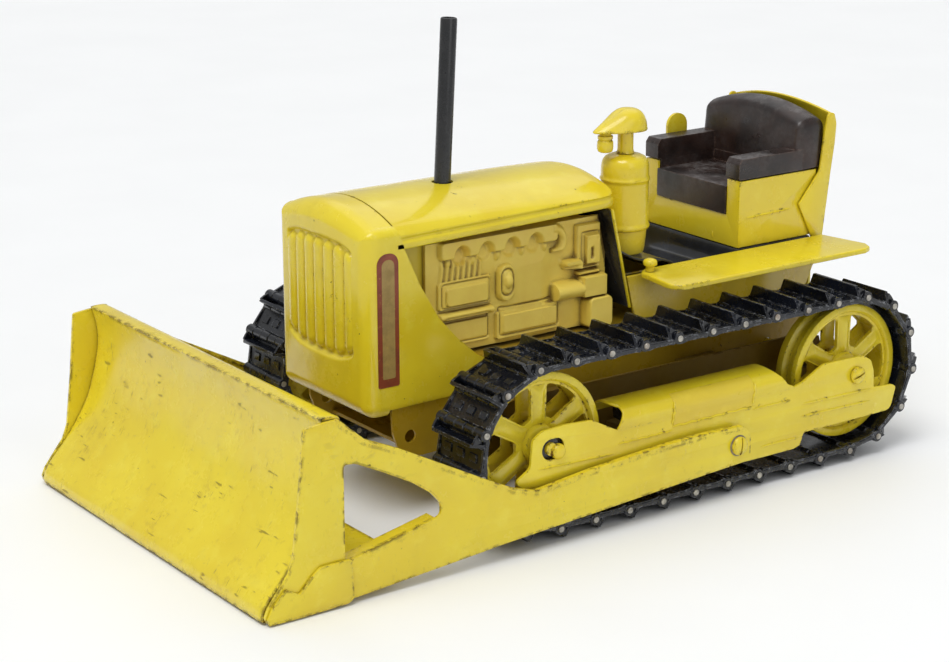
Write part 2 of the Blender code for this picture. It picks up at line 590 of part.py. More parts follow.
# Brown upholstery, one casting: seat block, armrests and crowned back.
section = [(-SEAT_X, 132.9), (-SEAT_X, 143.0), (-35.6, 143.6), (-27.2, 143.6), (-26.5, 143.0), (-26.5, 128.6),
           (26.5, 128.6), (26.5, 143.0), (27.2, 143.6), (35.6, 143.6), (SEAT_X, 143.0), (SEAT_X, 132.9),
           (34.4, 132.9), (34.4, 126.3), (26.6, 125.6), (26.6, 114.3), (-26.6, 114.3), (-26.6, 125.6),
           (-34.4, 126.3), (-34.4, 132.9)]
casting = prism("seat_casting", section, "xz", SEAT_Y + 1.8, 166.0)
noses = [box("n", (-26.2, SEAT_Y - 0.3, 114.5), (26.2, SEAT_Y + 3.0, 128.3))]
for sx in (-1, 1):
    lo, hi = sorted((sx * 26.8, sx * (SEAT_X - 0.3)))
    noses.append(box("n", (lo, SEAT_Y - 0.6, 133.2), (hi, SEAT_Y + 3.0, 143.2)))
back_arch = ([(-36.2, 133.0), (-34.6, 133.0), (-34.6, 122.0), (34.6, 122.0), (34.6, 133.0), (36.2, 133.0), (36.2, 154.0), (35.4, 157.0)] +
             [(33.0 - 3.0 * i, 158.0 + 7.2 * (1 - ((33.0 - 3.0 * i) / 36.2) ** 2)) for i in range(0, 23)] + [(-35.4, 157.0), (-36.2, 154.0)])
back_side = [(163.6, 122.4), (176.6, 122.4), (176.8, 133.5), (177.6, 134.0), (180.0, 150.0), (180.0, 162.0), (176.6, 165.5),
             (170.0, 165.5), (166.0, 162.0), (164.0, 152.0)]
back = common(prism("bk", back_arch, "xz", 160, 190), prism("bs", back_side, "yz", -40, 40))
finish(join(casting, back, *noses), "brown")

# ================================================================ hand lever
LEVER_X, LEVER_Y, LEVER_Z = -40.2, 149.4, 104.6
lever_pts = ([(LEVER_Y - 5.0, 103.0), (LEVER_Y - 3.4, 100.6), (LEVER_Y, 99.6), (LEVER_Y + 3.4, 100.6), (LEVER_Y + 5.0, 103.0)]
             + [(LEVER_Y + 6.6, 135.0), (LEVER_Y + 6.6, 146.0)]
             + arc(LEVER_Y, 146.0, 6.6, 20, 160, 7) + [(LEVER_Y - 6.6, 146.0), (LEVER_Y - 6.6, 135.0)])
finish(prism("hand_lever", lever_pts, "yz", LEVER_X - 0.8, LEVER_X + 0.8,
             holes=[circle(LEVER_Y, LEVER_Z, 1.9, 16)]), "yellow", (LEVER_X, LEVER_Y, LEVER_Z))
pin = turned("lever_pin", [(0, -LEVER_X - 3.5), (1.6, -LEVER_X - 3.5), (1.6, -LEVER_X + 1.2), (3.0, -LEVER_X + 1.2),
                           (2.6, -LEVER_X + 2.2), (0, -LEVER_X + 2.4)], (0, LEVER_Y, LEVER_Z), "x", 16)
pin.data.transform(Matrix.Scale(-1, 4, (1, 0, 0)))
clean(pin)
finish(pin, "yellow")

# ================================================================ blade and push arms
PIV = (0, PIVOT_Y, PIVOT_Z)
arm_outline = [(-171.3, 81.6), (-160.6, 82.8), (-155.0, 83.0), (-141.8, 71.8), (-124.3, 64.0), (-79.7, 40.7),
               (-66.0, 34.0), (-60.0, 31.5), (-56.0, 30.2), (-51.6, 29.8), (-46.0, 30.2), (-21.5, 32.7), (18.6, 35.2),
               (42.7, 36.0), (69.6, 35.2), (72.6, 33.6), (74.4, 30.4), (74.6, 26.2), (74.4, 18.4), (73.4, 17.2),
               (37.3, 15.2), (-72.2, 8.2), (-87.3, 6.9), (-134.1, 3.3), (-149.2, 2.2), (-190.4, 0.9),
               (-191.9, 3.6), (-190.4, 7.4), (-186.4, 12.6), (-180.2, 20.4), (-177.6, 27.0), (-174.3, 52.0)]
window = [(-152.3, 60.0), (-150.6, 61.8), (-147.9, 62.0), (-131.5, 54.6), (-118.8, 47.8), (-110.0, 41.6),
          (-105.3, 36.5), (-104.1, 33.1), (-104.3, 30.2), (-106.4, 28.8), (-146.5, 20.1), (-150.6, 20.2),
          (-152.3, 22.4)]
arm = prism("push_arm", arm_outline, "yz", ARM_X - ARM_T, ARM_X, holes=[window, circle(PIVOT_Y, PIVOT_Z, 2.8)])


def strip(line, depth):
    """A folded flange: a strip that follows the outline just inside its edge."""
    return [(a, b - 0.15) for a, b in line] + [(a, b - depth) for a, b in reversed(line)]


top_line = [(-152.4, 80.8), (-141.8, 71.8), (-124.3, 64.0), (-79.7, 40.7), (-66.0, 34.0), (-60.0, 31.5), (-56.0, 30.2),
            (-51.6, 29.8), (-46.0, 30.2), (-28.0, 32.0)]
rear_line = [(-30.0, 31.5), (-21.5, 32.4), (18.6, 35.2), (42.7, 36.0), (69.6, 35.2)]
arm = join(arm, prism("fl", strip(top_line, 1.62), "yz", ARM_X - 2.5, ARM_X - 0.2),
           prism("fl2", strip(rear_line, 1.4), "yz", ARM_X - 3.9, ARM_X - 0.2),
           prism("fl3", strip([(-151.0, 19.8), (-146.5, 19.8), (-107.0, 28.4)], 1.4), "yz", ARM_X - 8.0, ARM_X - 0.2))
both_sides("push_arm", arm, "yellow", (ARM_X, PIVOT_Y, PIVOT_Z))

# Moldboard: one curved sheet with a flange turned back along its top.  The front
# ends of the push arms close it at each side.
face = [(-162.4, 84.4), (-161.6, 82.0), (-160.2, 75.1), (-159.8, 68.7), (-160.7, 61.1), (-163.5, 50.2), (-167.4, 39.5),
        (-173.6, 29.2), (-180.0, 20.5), (-187.0, 12.6), (-191.0, 7.6), (-192.4, 4.0), (-192.0, 1.0)]
T = 1.3
backface = [(-190.7, 0.4), (-191.0, 3.8), (-189.9, 6.9), (-186.0, 11.8), (-179.0, 19.6), (-172.4, 28.6), (-166.2, 39.0),
            (-162.2, 49.8), (-159.4, 61.0), (-158.5, 68.7), (-158.9, 75.0), (-160.2, 81.6), (-160.6, 82.9),
            (-155.8, 82.9), (-154.6, 81.2), (-153.4, 81.2), (-154.4, 84.0), (-155.2, 84.4)]
finish(prism("blade_moldboard", face + backface, "yz", -BLADE_X, BLADE_X), "yellow", PIV)

# Toe plates lap the lower front corner of each arm on the outside.
toe_pts = [(-190.6, 0.7), (-191.3, 3.4), (-189.4, 7.4), (-184.6, 12.6), (-182.2, 15.0), (-179.6, 13.4), (-176.0, 11.4), (-173.8, 12.4), (-170.4, 17.0), (-166.9, 20.3),
           (-165.0, 20.9), (-150.2, 20.9), (-149.2, 19.8), (-149.0, 3.6), (-151.0, 1.4), (-174.0, 0.5)]
both_sides("toe_plate", prism("tp", toe_pts, "yz", ARM_X + GAP, ARM_X + 1.5), "yellow", PIV)

# Brace: a flat sheet between the arms, behind the lower part of the moldboard.
brace = prism("blade_brace", [(-97.4, -180.9), (97.4, -180.9), (97.4, -124.6), (-97.4, -124.6)], "xy", 15.4, 17.0)
finish(brace, "yellow", PIV)

# Pivot bolts: shank through cover and arm, domed head outside.
bolt = turned("pb", [(0, 96.0), (2.5, 96.0), (2.5, ARM_X + 0.3), (4.9, ARM_X + 0.3), (4.9, ARM_X + 1.2),
                     (4.0, ARM_X + 2.2), (2.2, ARM_X + 2.8), (0, ARM_X + 2.9)], (0, PIVOT_Y, PIVOT_Z), "x", 24)
both_sides("pivot_bolt", bolt, "yellow")
bush = turned("bu", [(2.75, COVER_X + GAP), (4.6, COVER_X + GAP), (4.6, ARM_X - ARM_T - GAP),
                     (2.75, ARM_X - ARM_T - GAP), (2.75, COVER_X + GAP)], (0, PIVOT_Y, PIVOT_Z), "x", 20)
both_sides("pivot_bush", bush, "steel")

bpy.data.collections.remove(cutters)
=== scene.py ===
import bpy, bmesh, math
import numpy as np
from mathutils import Matrix, Vector


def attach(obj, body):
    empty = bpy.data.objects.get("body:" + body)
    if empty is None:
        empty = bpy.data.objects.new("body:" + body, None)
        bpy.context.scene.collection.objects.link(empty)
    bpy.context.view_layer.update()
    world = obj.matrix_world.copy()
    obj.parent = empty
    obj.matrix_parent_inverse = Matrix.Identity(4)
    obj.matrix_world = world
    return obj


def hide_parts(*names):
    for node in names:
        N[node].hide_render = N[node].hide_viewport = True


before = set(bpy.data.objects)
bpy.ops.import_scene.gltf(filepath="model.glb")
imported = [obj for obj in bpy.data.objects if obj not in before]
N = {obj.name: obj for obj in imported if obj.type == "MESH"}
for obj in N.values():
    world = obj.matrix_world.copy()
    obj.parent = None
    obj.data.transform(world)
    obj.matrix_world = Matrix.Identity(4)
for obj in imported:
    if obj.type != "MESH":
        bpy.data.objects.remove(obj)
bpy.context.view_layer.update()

MM = 0.001
COL = bpy.context.scene.collection

# =====================================================================================
# node-tree helpers
# =====================================================================================


class Tree:
    """Small wrapper round a material's node tree."""

    def __init__(self, name):
        self.m = bpy.data.materials.new(name)
        self.m.use_nodes = True
        self.t = self.m.node_tree
        self.t.nodes.clear()
        self.out = self.t.nodes.new("ShaderNodeOutputMaterial")
        self.p = self.t.nodes.new("ShaderNodeBsdfPrincipled")
        self.t.links.new(self.p.outputs[0], self.out.inputs[0])
        self.co = self.t.nodes.new("ShaderNodeTexCoord").outputs["Object"]

    def link(self, a, b):
        self.t.links.new(a, b)

    def mapping(self, scale, loc=(0, 0, 0), rot=(0, 0, 0)):
        n = self.t.nodes.new("ShaderNodeMapping")
        n.inputs["Scale"].default_value = scale
        n.inputs["Location"].default_value = loc
        n.inputs["Rotation"].default_value = rot
        self.link(self.co, n.inputs["Vector"])
        return n.outputs[0]

    def noise(self, scale, detail=4.0, rough=0.55, vec=None, dist=0.0):
        n = self.t.nodes.new("ShaderNodeTexNoise")
        n.inputs["Scale"].default_value = scale
        n.inputs["Detail"].default_value = detail
        n.inputs["Roughness"].default_value = rough
        n.inputs["Distortion"].default_value = dist
        self.link(vec or self.co, n.inputs["Vector"])
        return n.outputs[0]

    def voronoi(self, scale, vec=None, feature="F1"):
        n = self.t.nodes.new("ShaderNodeTexVoronoi")
        n.feature = feature
        n.inputs["Scale"].default_value = scale
        self.link(vec or self.co, n.inputs["Vector"])
        return n.outputs["Distance"]

    def ramp(self, fac, a, b, lo=0.0, hi=1.0):
        """Smooth step of fac between a and b, to lo..hi."""
        n = self.t.nodes.new("ShaderNodeMapRange")
        n.interpolation_type = "SMOOTHSTEP"
        n.inputs["From Min"].default_value = a
        n.inputs["From Max"].default_value = b
        n.inputs["To Min"].default_value = lo
        n.inputs["To Max"].default_value = hi
        self.link(fac, n.inputs["Value"])
        return n.outputs[0]

    def math(self, op, a, b=None, clamp=False):
        n = self.t.nodes.new("ShaderNodeMath")
        n.operation = op
        n.use_clamp = clamp
        for i, v in enumerate((a, b)):
            if v is None:
                continue
            if isinstance(v, (int, float)):
                n.inputs[i].default_value = v
            else:
                self.link(v, n.inputs[i])
        return n.outputs[0]

    def mix(self, fac, a, b, mode="MIX"):
        n = self.t.nodes.new("ShaderNodeMix")
        n.data_type = "RGBA"
        n.blend_type = mode
        if isinstance(fac, (int, float)):
            n.inputs[0].default_value = fac
        else:
            self.link(fac, n.inputs[0])
        for i, v in ((6, a), (7, b)):
            if isinstance(v, tuple):
                n.inputs[i].default_value = (*v, 1) if len(v) == 3 else v
            else:
                self.link(v, n.inputs[i])
        return n.outputs[2]

    def edge(self, radius):
        """1 near a convex or concave edge of the mesh, 0 on flat metal."""
        b = self.t.nodes.new("ShaderNodeBevel")
        b.samples = 4
        b.inputs["Radius"].default_value = radius
        g = self.t.nodes.new("ShaderNodeNewGeometry")
        d = self.t.nodes.new("ShaderNodeVectorMath")
        d.operation = "DOT_PRODUCT"
        self.link(b.outputs[0], d.inputs[0])
        self.link(g.outputs["Normal"], d.inputs[1])
        return self.math("SUBTRACT", 1.0, d.outputs["Value"], True)

    def position(self):
        g = self.t.nodes.new("ShaderNodeSeparateXYZ")
        self.link(self.co, g.inputs[0])
        return g.outputs

    def bump(self, height, strength, distance, normal=None):
        n = self.t.nodes.new("ShaderNodeBump")
        n.inputs["Strength"].default_value = strength
        n.inputs["Distance"].default_value = distance
        self.link(height, n.inputs["Height"])
        if normal is not None:
            self.link(normal, n.inputs["Normal"])
        return n.outputs[0]

    def ao(self, distance, samples=6):
        n = self.t.nodes.new("ShaderNodeAmbientOcclusion")
        n.samples = samples
        n.inputs["Distance"].default_value = distance
        return n.outputs["AO"]

    def set(self, name, v):
        s = self.p.inputs[name]
        if isinstance(v, (int, float)):
            s.default_value = v
        elif isinstance(v, tuple):
            s.default_value = (*v, 1) if len(v) == 3 and s.type == "RGBA" else v
        else:
            self.link(v, s)


YEL = (0.80, 0.640, 0.024)
YEL_PALE = (0.85, 0.72, 0.065)


def enamel(name, chips=0.5, scratch=0.0, grime_and_shade=0.35, edge_wear=0.5, base=YEL, rough=0.2, seed=0.0, dull=0.0):
    """Old glossy enamel on steel: uneven colour, dark grime with painted shade in the corners, chips to dark primer,
    scratches.
    """
    t = Tree(name)
    off = (seed * 1.37, seed * 0.71, seed * 2.11)
    big = t.noise(17.0, 3, 0.5, t.mapping((1, 1, 1), off))
    mid = t.noise(95.0, 5, 0.6, t.mapping((1, 1, 1), off))
    col = t.mix(t.ramp(big, 0.35, 0.7), base, (base[0] * 0.93, base[1] * 0.885, base[2] * 0.8))
    col = t.mix(t.math("MULTIPLY", t.ramp(mid, 0.5, 0.72), 0.4), col, YEL_PALE if base == YEL else tuple(min(1, c * 1.1) for c in base))
    # grime and painted shade: speckled brown film of dirt, with painted shade from ambient occlusion thickening it in
    # the corners and recesses
    fine = t.noise(620.0, 6, 0.7, t.mapping((1, 1, 1), off))
    ao_shade = t.math("SUBTRACT", 1.0, t.ao(0.007), True)
    film = t.math("MULTIPLY", t.ramp(t.noise(48.0, 6, 0.65, t.mapping((1, 1, 1), off)), 0.5, 0.78), grime_and_shade * 0.35)
    film = t.math("ADD", film, t.math("MULTIPLY", t.ramp(ao_shade, 0.28, 0.85), grime_and_shade), True)
    film = t.math("MULTIPLY", film, t.ramp(fine, 0.25, 0.6, 0.55, 1.0))
    col = t.mix(film, col, (0.17, 0.105, 0.016))
    # dark specks and chips
    edge = t.ramp(t.edge(0.0011 + 0.0011 * edge_wear), 0.004, 0.06)
    zone = t.ramp(t.noise(30.0, 3, 0.6, t.mapping((1, 1, 1), (off[1], off[2], off[0]))), 0.44, 0.72)
    speck = t.noise(340.0, 7, 0.72, t.mapping((1, 1, 1), (off[2], off[0], off[1])), 0.3)
    lim = 0.722 - 0.034 * chips
    chip = t.ramp(t.math("ADD", speck, t.math("MULTIPLY", zone, 0.065)), lim, lim + 0.008)
    wear = t.noise(210.0, 7, 0.75, t.mapping((1, 1, 1), off), 0.2)
    lw = 0.80 - 0.095 * edge_wear
    wsum = t.math("ADD", wear, t.math("ADD", t.math("MULTIPLY", edge, 0.16), t.math("MULTIPLY", zone, 0.07)))
    chip_e = t.math("MULTIPLY", t.ramp(wsum, lw, lw + 0.012), t.ramp(edge, 0.1, 0.2))
    chip = t.math("MAXIMUM", chip, chip_e)
    if scratch:
        s1 = t.noise(1.0, 3, 0.5, t.mapping((70, 900, 260), off, (0.35, 0.2, 0.5)))
        s2 = t.noise(1.0, 3, 0.5, t.mapping((1100, 60, 150), off, (0.1, -0.3, 0.15)))
        sc = t.math("MAXIMUM", t.ramp(s1, 0.655, 0.672), t.ramp(s2, 0.665, 0.682))
        sc = t.math("MULTIPLY", sc, t.math("MULTIPLY", t.ramp(zone, 0.1, 0.4), scratch))
        chip = t.math("MAXIMUM", chip, sc)
    stain = t.math("MULTIPLY", t.ramp(wsum, lw - 0.10, lw + 0.02), t.ramp(edge, 0.0, 0.5, 0.25, 0.75))
    col = t.mix(t.math("MULTIPLY", stain, 0.35 + 0.35 * edge_wear), col, (0.26, 0.15, 0.022))
    chipcol = t.mix(t.ramp(t.noise(300.0, 3, 0.6), 0.4, 0.65), (0.018, 0.010, 0.006), (0.10, 0.036, 0.011))
    col = t.mix(chip, col, chipcol)
    t.set("Base Color", col)
    rv = t.ramp(t.noise(60.0, 5, 0.65, t.mapping((1, 1, 1), off)), 0.3, 0.75, rough * 0.75, rough * 1.6 + dull)
    r = t.math("ADD", rv, t.math("MULTIPLY", film, 0.35))
    r = t.math("ADD", r, t.math("MULTIPLY", chip, 0.5), True)
    t.set("Roughness", r)
    clean = t.math("SUBTRACT", 1.0, chip, True)
    t.set("Specular IOR Level", t.math("ADD", t.math("MULTIPLY", clean, 0.42), 0.08))
    t.set("Coat Weight", max(0.0, 0.22 - dull))
    t.set("Coat Roughness", 0.12)
    peel = t.noise(210.0, 2, 0.5)
    wave = t.noise(24.0, 2, 0.5, t.mapping((1, 1, 1), off))
    n1 = t.bump(wave, 0.25, 0.0012)
    n2 = t.bump(peel, 0.06, 0.0006, n1)
    n3 = t.bump(t.math("MULTIPLY", chip, -1.0), 0.4, 0.00025, n2)
    t.set("Normal", n3)
    return t.m


def dark_enamel(name, col=(0.012, 0.0125, 0.014), edge_col=(0.16, 0.165, 0.175), rough=0.3, dust=0.4, edge_wear=0.7, scale=1.0, film=(0.10, 0.105, 0.115), hi=(0.03, 0.033, 0.042)):
    """Black enamel rubbed to bare metal on its corners, with dust in its grain."""
    t = Tree(name)
    big = t.noise(45.0 * scale, 5, 0.6)
    c = t.mix(t.ramp(big, 0.35, 0.68), col, hi)
    dustn = t.noise(330.0 * scale, 6, 0.75)
    d = t.math("MULTIPLY", t.ramp(dustn, 0.56, 0.74), t.math("MULTIPLY", t.ramp(big, 0.42, 0.66), dust))
    c = t.mix(d, c, film)
    edge = t.ramp(t.edge(0.0006), 0.03, 0.2)
    wn = t.noise(300.0 * scale, 5, 0.7, None, 0.2)
    e = t.math("MULTIPLY", edge, t.ramp(wn, 0.66 - 0.16 * edge_wear, 0.74 - 0.12 * edge_wear))
    c = t.mix(e, c, edge_col)
    t.set("Base Color", c)
    r = t.ramp(t.noise(120.0 * scale, 5, 0.7), 0.3, 0.75, rough * 0.75, rough * 1.7)
    r = t.math("ADD", r, t.math("MULTIPLY", d, 0.3), True)
    t.set("Roughness", r)
    n1 = t.bump(t.noise(160.0 * scale, 4, 0.6), 0.16, 0.0007)
    t.set("Normal", n1)
    t.set("Coat Weight", 0.15)
    t.set("Coat Roughness", 0.2)
    return t.m


def steel_mat(name, col=(0.56, 0.55, 0.52), rough=0.34, rust=0.35):
    t = Tree(name)
    n = t.noise(300.0, 5, 0.7)
    big = t.noise(110.0, 4, 0.6)
    c = t.mix(t.ramp(n, 0.35, 0.7), col, tuple(v * 0.62 for v in col))
    f = t.math("MULTIPLY", t.ramp(big, 0.52, 0.7), rust)
    c = t.mix(f, c, (0.16, 0.08, 0.035))
    t.set("Base Color", c)
    t.set("Metallic", t.math("SUBTRACT", 0.75, t.math("MULTIPLY", f, 0.6), True))
    t.set("Roughness", t.ramp(n, 0.3, 0.7, rough * 0.8, rough * 1.6))
    t.set("Normal", t.bump(n, 0.2, 0.0003))
    return t.m


def casting_mat(name):
    """Pale engine enamel over a casting, with painted shade in brown darkening its hollows and a painted highlight
    along its edges.
    """
    t = Tree(name)
    big = t.noise(40.0, 4, 0.6)
    fine = t.noise(700.0, 6, 0.7)
    base = t.mix(t.ramp(big, 0.35, 0.7), (0.91, 0.70, 0.115), (0.86, 0.62, 0.092))
    # painted shade: brown darkening in the casting's hollows from ambient occlusion
    ao_shade = t.math("SUBTRACT", 1.0, t.ao(0.0050, 8), True)
    painted_shade_wash = t.math("MULTIPLY", t.ramp(ao_shade, 0.20, 0.56), t.ramp(fine, 0.2, 0.6, 0.78, 1.0))
    col = t.mix(t.math("MULTIPLY", painted_shade_wash, 0.95), base, (0.13, 0.055, 0.012))
    # painted highlight: paler, yellower colour along the casting's raised edges
    edge = t.ramp(t.edge(0.0008), 0.03, 0.22)
    col = t.mix(t.math("MULTIPLY", edge, t.ramp(fine, 0.3, 0.6, 0.15, 0.55)), col, (0.86, 0.70, 0.20))
    chip = t.ramp(t.noise(380.0, 7, 0.72), 0.725, 0.745)
    col = t.mix(chip, col, (0.05, 0.025, 0.01))
    t.set("Base Color", col)
    t.set("Roughness", t.ramp(t.noise(150.0, 4, 0.6), 0.3, 0.7, 0.34, 0.56))
    n1 = t.bump(t.noise(330.0, 5, 0.65), 0.28, 0.0006)
    t.set("Normal", n1)
    t.set("Coat Weight", 0.12)
    t.set("Coat Roughness", 0.3)
    return t.m


def seat_mat(name):
    """Brown enamel moulded as leather, paler where rubbed, and paler still on its upward faces as a painted sheen."""
    t = Tree(name)
    big = t.noise(38.0, 5, 0.62)
    fine = t.noise(420.0, 6, 0.7)
    c = t.mix(t.ramp(big, 0.36, 0.68), (0.011, 0.0072, 0.0064), (0.036, 0.018, 0.0135))
    rub_and_sheen = t.math("MULTIPLY", t.ramp(t.noise(75.0, 5, 0.65), 0.43, 0.62), t.ramp(fine, 0.36, 0.6))
    g = t.t.nodes.new("ShaderNodeNewGeometry")
    sep = t.t.nodes.new("ShaderNodeSeparateXYZ")
    t.link(g.outputs["Normal"], sep.inputs[0])
    # painted sheen: the grey rub patches are made paler on the upward-facing faces
    up = t.ramp(sep.outputs[2], 0.55, 0.98)
    c = t.mix(t.math("MULTIPLY", rub_and_sheen, t.ramp(up, 0, 1, 0.14, 0.78)), c, (0.135, 0.125, 0.12))
    edge = t.ramp(t.edge(0.0016), 0.03, 0.25)
    c = t.mix(t.math("MULTIPLY", edge, t.ramp(fine, 0.42, 0.62, 0.05, 0.6)), c, (0.20, 0.13, 0.10))
    chip = t.math("MULTIPLY", t.ramp(t.noise(520.0, 6, 0.72), 0.70, 0.715), t.ramp(big, 0.5, 0.62))
    c = t.mix(chip, c, (0.42, 0.30, 0.20))
    t.set("Base Color", c)
    t.set("Roughness", t.ramp(t.noise(90.0, 5, 0.65), 0.3, 0.7, 0.26, 0.52))
    n1 = t.bump(t.noise(130.0, 4, 0.6), 0.22, 0.0007)
    t.set("Normal", t.bump(fine, 0.14, 0.0003, n1))
    t.set("Coat Weight", 0.1)
    t.set("Coat Roughness", 0.25)
    return t.m


M = {
    "yel": enamel("yellow_body", chips=0.45, grime_and_shade=0.4, edge_wear=0.45, seed=1.0),
    "yel_blade": enamel("yellow_blade", chips=0.75, scratch=0.55, grime_and_shade=0.35, edge_wear=1.45, seed=3.0, rough=0.22),
    "yel_arm": enamel("yellow_arm", chips=0.5, scratch=0.12, grime_and_shade=0.35, edge_wear=0.95, seed=5.0),
    "yel_hood": enamel("yellow_hood", chips=0.35, grime_and_shade=0.3, edge_wear=0.35, seed=8.0, rough=0.17),
    "yel_frame": enamel("yellow_frame", chips=0.15, grime_and_shade=0.4, edge_wear=0.3, seed=13.0, rough=0.18),
    "yel_wheel": enamel("yellow_wheel", chips=0.45, grime_and_shade=0.9, edge_wear=0.45, seed=21.0, rough=0.27),
    "yel_small": enamel("yellow_small", chips=0.9, grime_and_shade=0.45, edge_wear=0.9, seed=34.0, rough=0.2),
    "yel_dull": enamel("yellow_dull", chips=0.3, grime_and_shade=0.3, edge_wear=0.2, seed=55.0, rough=0.33, dull=0.10,
                       base=(0.79, 0.62, 0.045)),
    # the next three are the yellow darkened as painted shade: the body side under the fender, the hull, and the inner
    # frame in the gaps
    "yel_side_shaded": enamel("yellow_side_painted_shade", chips=0.35, grime_and_shade=0.75, edge_wear=0.4, seed=71.0, rough=0.24, base=(0.64, 0.475, 0.020)),
    "yel_hull_shaded": enamel("yellow_hull_painted_shade", chips=0.3, grime_and_shade=0.9, edge_wear=0.3, seed=89.0, rough=0.3, dull=0.1, base=(0.42, 0.275, 0.014)),
    "yel_inner_shaded": enamel("yellow_inner_painted_shade", chips=0.3, grime_and_shade=0.95, edge_wear=0.2, seed=97.0, rough=0.4, dull=0.15, base=(0.17, 0.105, 0.009)),
    "engine": casting_mat("engine_enamel_painted_shade"),
    "track": dark_enamel("track_black", col=(0.0035, 0.0038, 0.005), rough=0.22, dust=0.35, edge_wear=1.1, hi=(0.0085, 0.0105, 0.017), film=(0.085, 0.09, 0.10), edge_col=(0.30, 0.31, 0.33)),
    "black": dark_enamel("black_gloss", rough=0.17, dust=0.35, edge_wear=0.2, film=(0.16, 0.165, 0.17)),
    "stack": dark_enamel("stack_black", rough=0.24, dust=0.25, edge_wear=0.3, hi=(0.02, 0.02, 0.021)),
    "steel": steel_mat("pin_steel", (0.50, 0.475, 0.42), 0.42, 0.6),
    "dark_steel": steel_mat("bolt_steel", (0.30, 0.26, 0.20), 0.42, 0.7),
    "seat": seat_mat("seat_brown"),
}

# =====================================================================================
# mesh helpers (millimetres)
# =====================================================================================


def new_mesh(name, verts, faces):
    me = bpy.data.meshes.new(name)
    me.from_pydata([(x * MM, y * MM, z * MM) for x, y, z in verts], [], faces)
    ob = bpy.data.objects.new(name, me)
    COL.objects.link(ob)
    return ob


def bake(ob):
    dg = bpy.context.evaluated_depsgraph_get()
    me = bpy.data.meshes.new_from_object(ob.evaluated_get(dg))
    me.transform(ob.matrix_world)
    name = ob.name
    bpy.data.objects.remove(ob, do_unlink=True)
    n = bpy.data.objects.new(name, me)
    COL.objects.link(n)
    return n


def weld(ob, dist=1.5e-6, recalc=True):
    bm = bmesh.new()
    bm.from_mesh(ob.data)
    bmesh.ops.remove_doubles(bm, verts=bm.verts, dist=dist)
    if recalc:
        bmesh.ops.recalc_face_normals(bm, faces=bm.faces)
    bm.to_mesh(ob.data)
    bm.free()
    return ob


def fil(pts, seg=6):
    """Outline with rounded corners: points are (a, b) or (a, b, radius)."""
    out = []
    n = len(pts)
    for i, p in enumerate(pts):
        r = p[2] if len(p) > 2 else 0
        b = Vector(p[:2])
        if r <= 0:
            out.append((b.x, b.y))
            continue
        u = Vector(pts[i - 1][:2]) - b
        v = Vector(pts[(i + 1) % n][:2]) - b
        lu, lv = u.length, v.length
        u.normalize()
        v.normalize()
        ang = u.angle(v)
        if ang > 3.1 or ang < 0.05:
            out.append((b.x, b.y))
            continue
        t = min(r / math.tan(ang / 2), lu * 0.49, lv * 0.49)
        rr = t * math.tan(ang / 2)
        cen = b + (u + v).normalized() * (rr / math.sin(ang / 2))
        s, e = b + u * t, b + v * t
        a0 = math.atan2(s.y - cen.y, s.x - cen.x)
        d = math.atan2(e.y - cen.y, e.x - cen.x) - a0
        while d > math.pi:
            d -= 2 * math.pi
        while d < -math.pi:
            d += 2 * math.pi
        k = max(2, int(seg * abs(d) / (math.pi / 2)) + 1)
        for j in range(k + 1):
            a = a0 + d * j / k
            out.append((cen.x + rr * math.cos(a), cen.y + rr * math.sin(a)))
    return out


def curve(pts, n=8, closed=False):
    """Catmull-Rom through the points, n steps a span."""
    P = [Vector(p) for p in pts]
    out = []
    m = len(P)
    for i in range(m if closed else m - 1):
        p0 = P[i - 1] if (i > 0 or closed) else P[0] * 2 - P[1]
        p1, p2 = P[i], P[(i + 1) % m]
        p3 = P[(i + 2) % m] if (i + 2 < m or closed) else p2 * 2 - p1
        for j in range(n):
            t = j / n
            out.append(tuple(0.5 * ((2 * p1) + (p2 - p0) * t + (2 * p0 - 5 * p1 + 4 * p2 - p3) * t * t
                                    + (3 * p1 - p0 - 3 * p2 + p3) * t ** 3)))
    if not closed:
        out.append(tuple(P[-1]))
    return out


PL = {"yz": Matrix(((0, 0, 1), (1, 0, 0), (0, 1, 0))),
      "xz": Matrix(((1, 0, 0), (0, 0, -1), (0, 1, 0))),
      "xy": Matrix(((1, 0, 0), (0, 1, 0), (0, 0, 1)))}


def prism(name, outline, plane, lo, hi, holes=(), bevel=0.0, seg=2, angle=40):
    cu = bpy.data.curves.new(name, "CURVE")
    cu.dimensions = "2D"
    cu.fill_mode = "BOTH"
    cu.extrude = (hi - lo) / 2 * MM
    for loop in [outline, *holes]:
        sp = cu.splines.new("POLY")
        sp.points.add(len(loop) - 1)
        for p, q in zip(sp.points, loop):
            p.co = (q[0] * MM, q[1] * MM, 0, 1)
        sp.use_cyclic_u = True
    ob = bpy.data.objects.new(name, cu)
    COL.objects.link(ob)
    mid = (lo + hi) / 2 * MM * (-1 if plane == "xz" else 1)
    ob.matrix_world = PL[plane].to_4x4() @ Matrix.Translation((0, 0, mid))
    bpy.context.view_layer.update()
    ob = weld(bake(ob))
    if bevel:
        ob = soften(ob, bevel, seg, angle)
    return ob


def soften(ob, width, seg=2, angle=40):
    m = ob.modifiers.new("b", "BEVEL")
    m.width = width * MM
    m.segments = seg
    m.limit_method = "ANGLE"
    m.angle_limit = math.radians(angle)
    m.harden_normals = False
    m.use_clamp_overlap = True
    bpy.context.view_layer.update()
    return bake(ob)


def box(name, lo, hi, bevel=0.0, seg=3):
    o = prism(name, [(lo[0], lo[1]), (hi[0], lo[1]), (hi[0], hi[1]), (lo[0], hi[1])], "xy", lo[2], hi[2])
    return soften(o, bevel, seg) if bevel else o


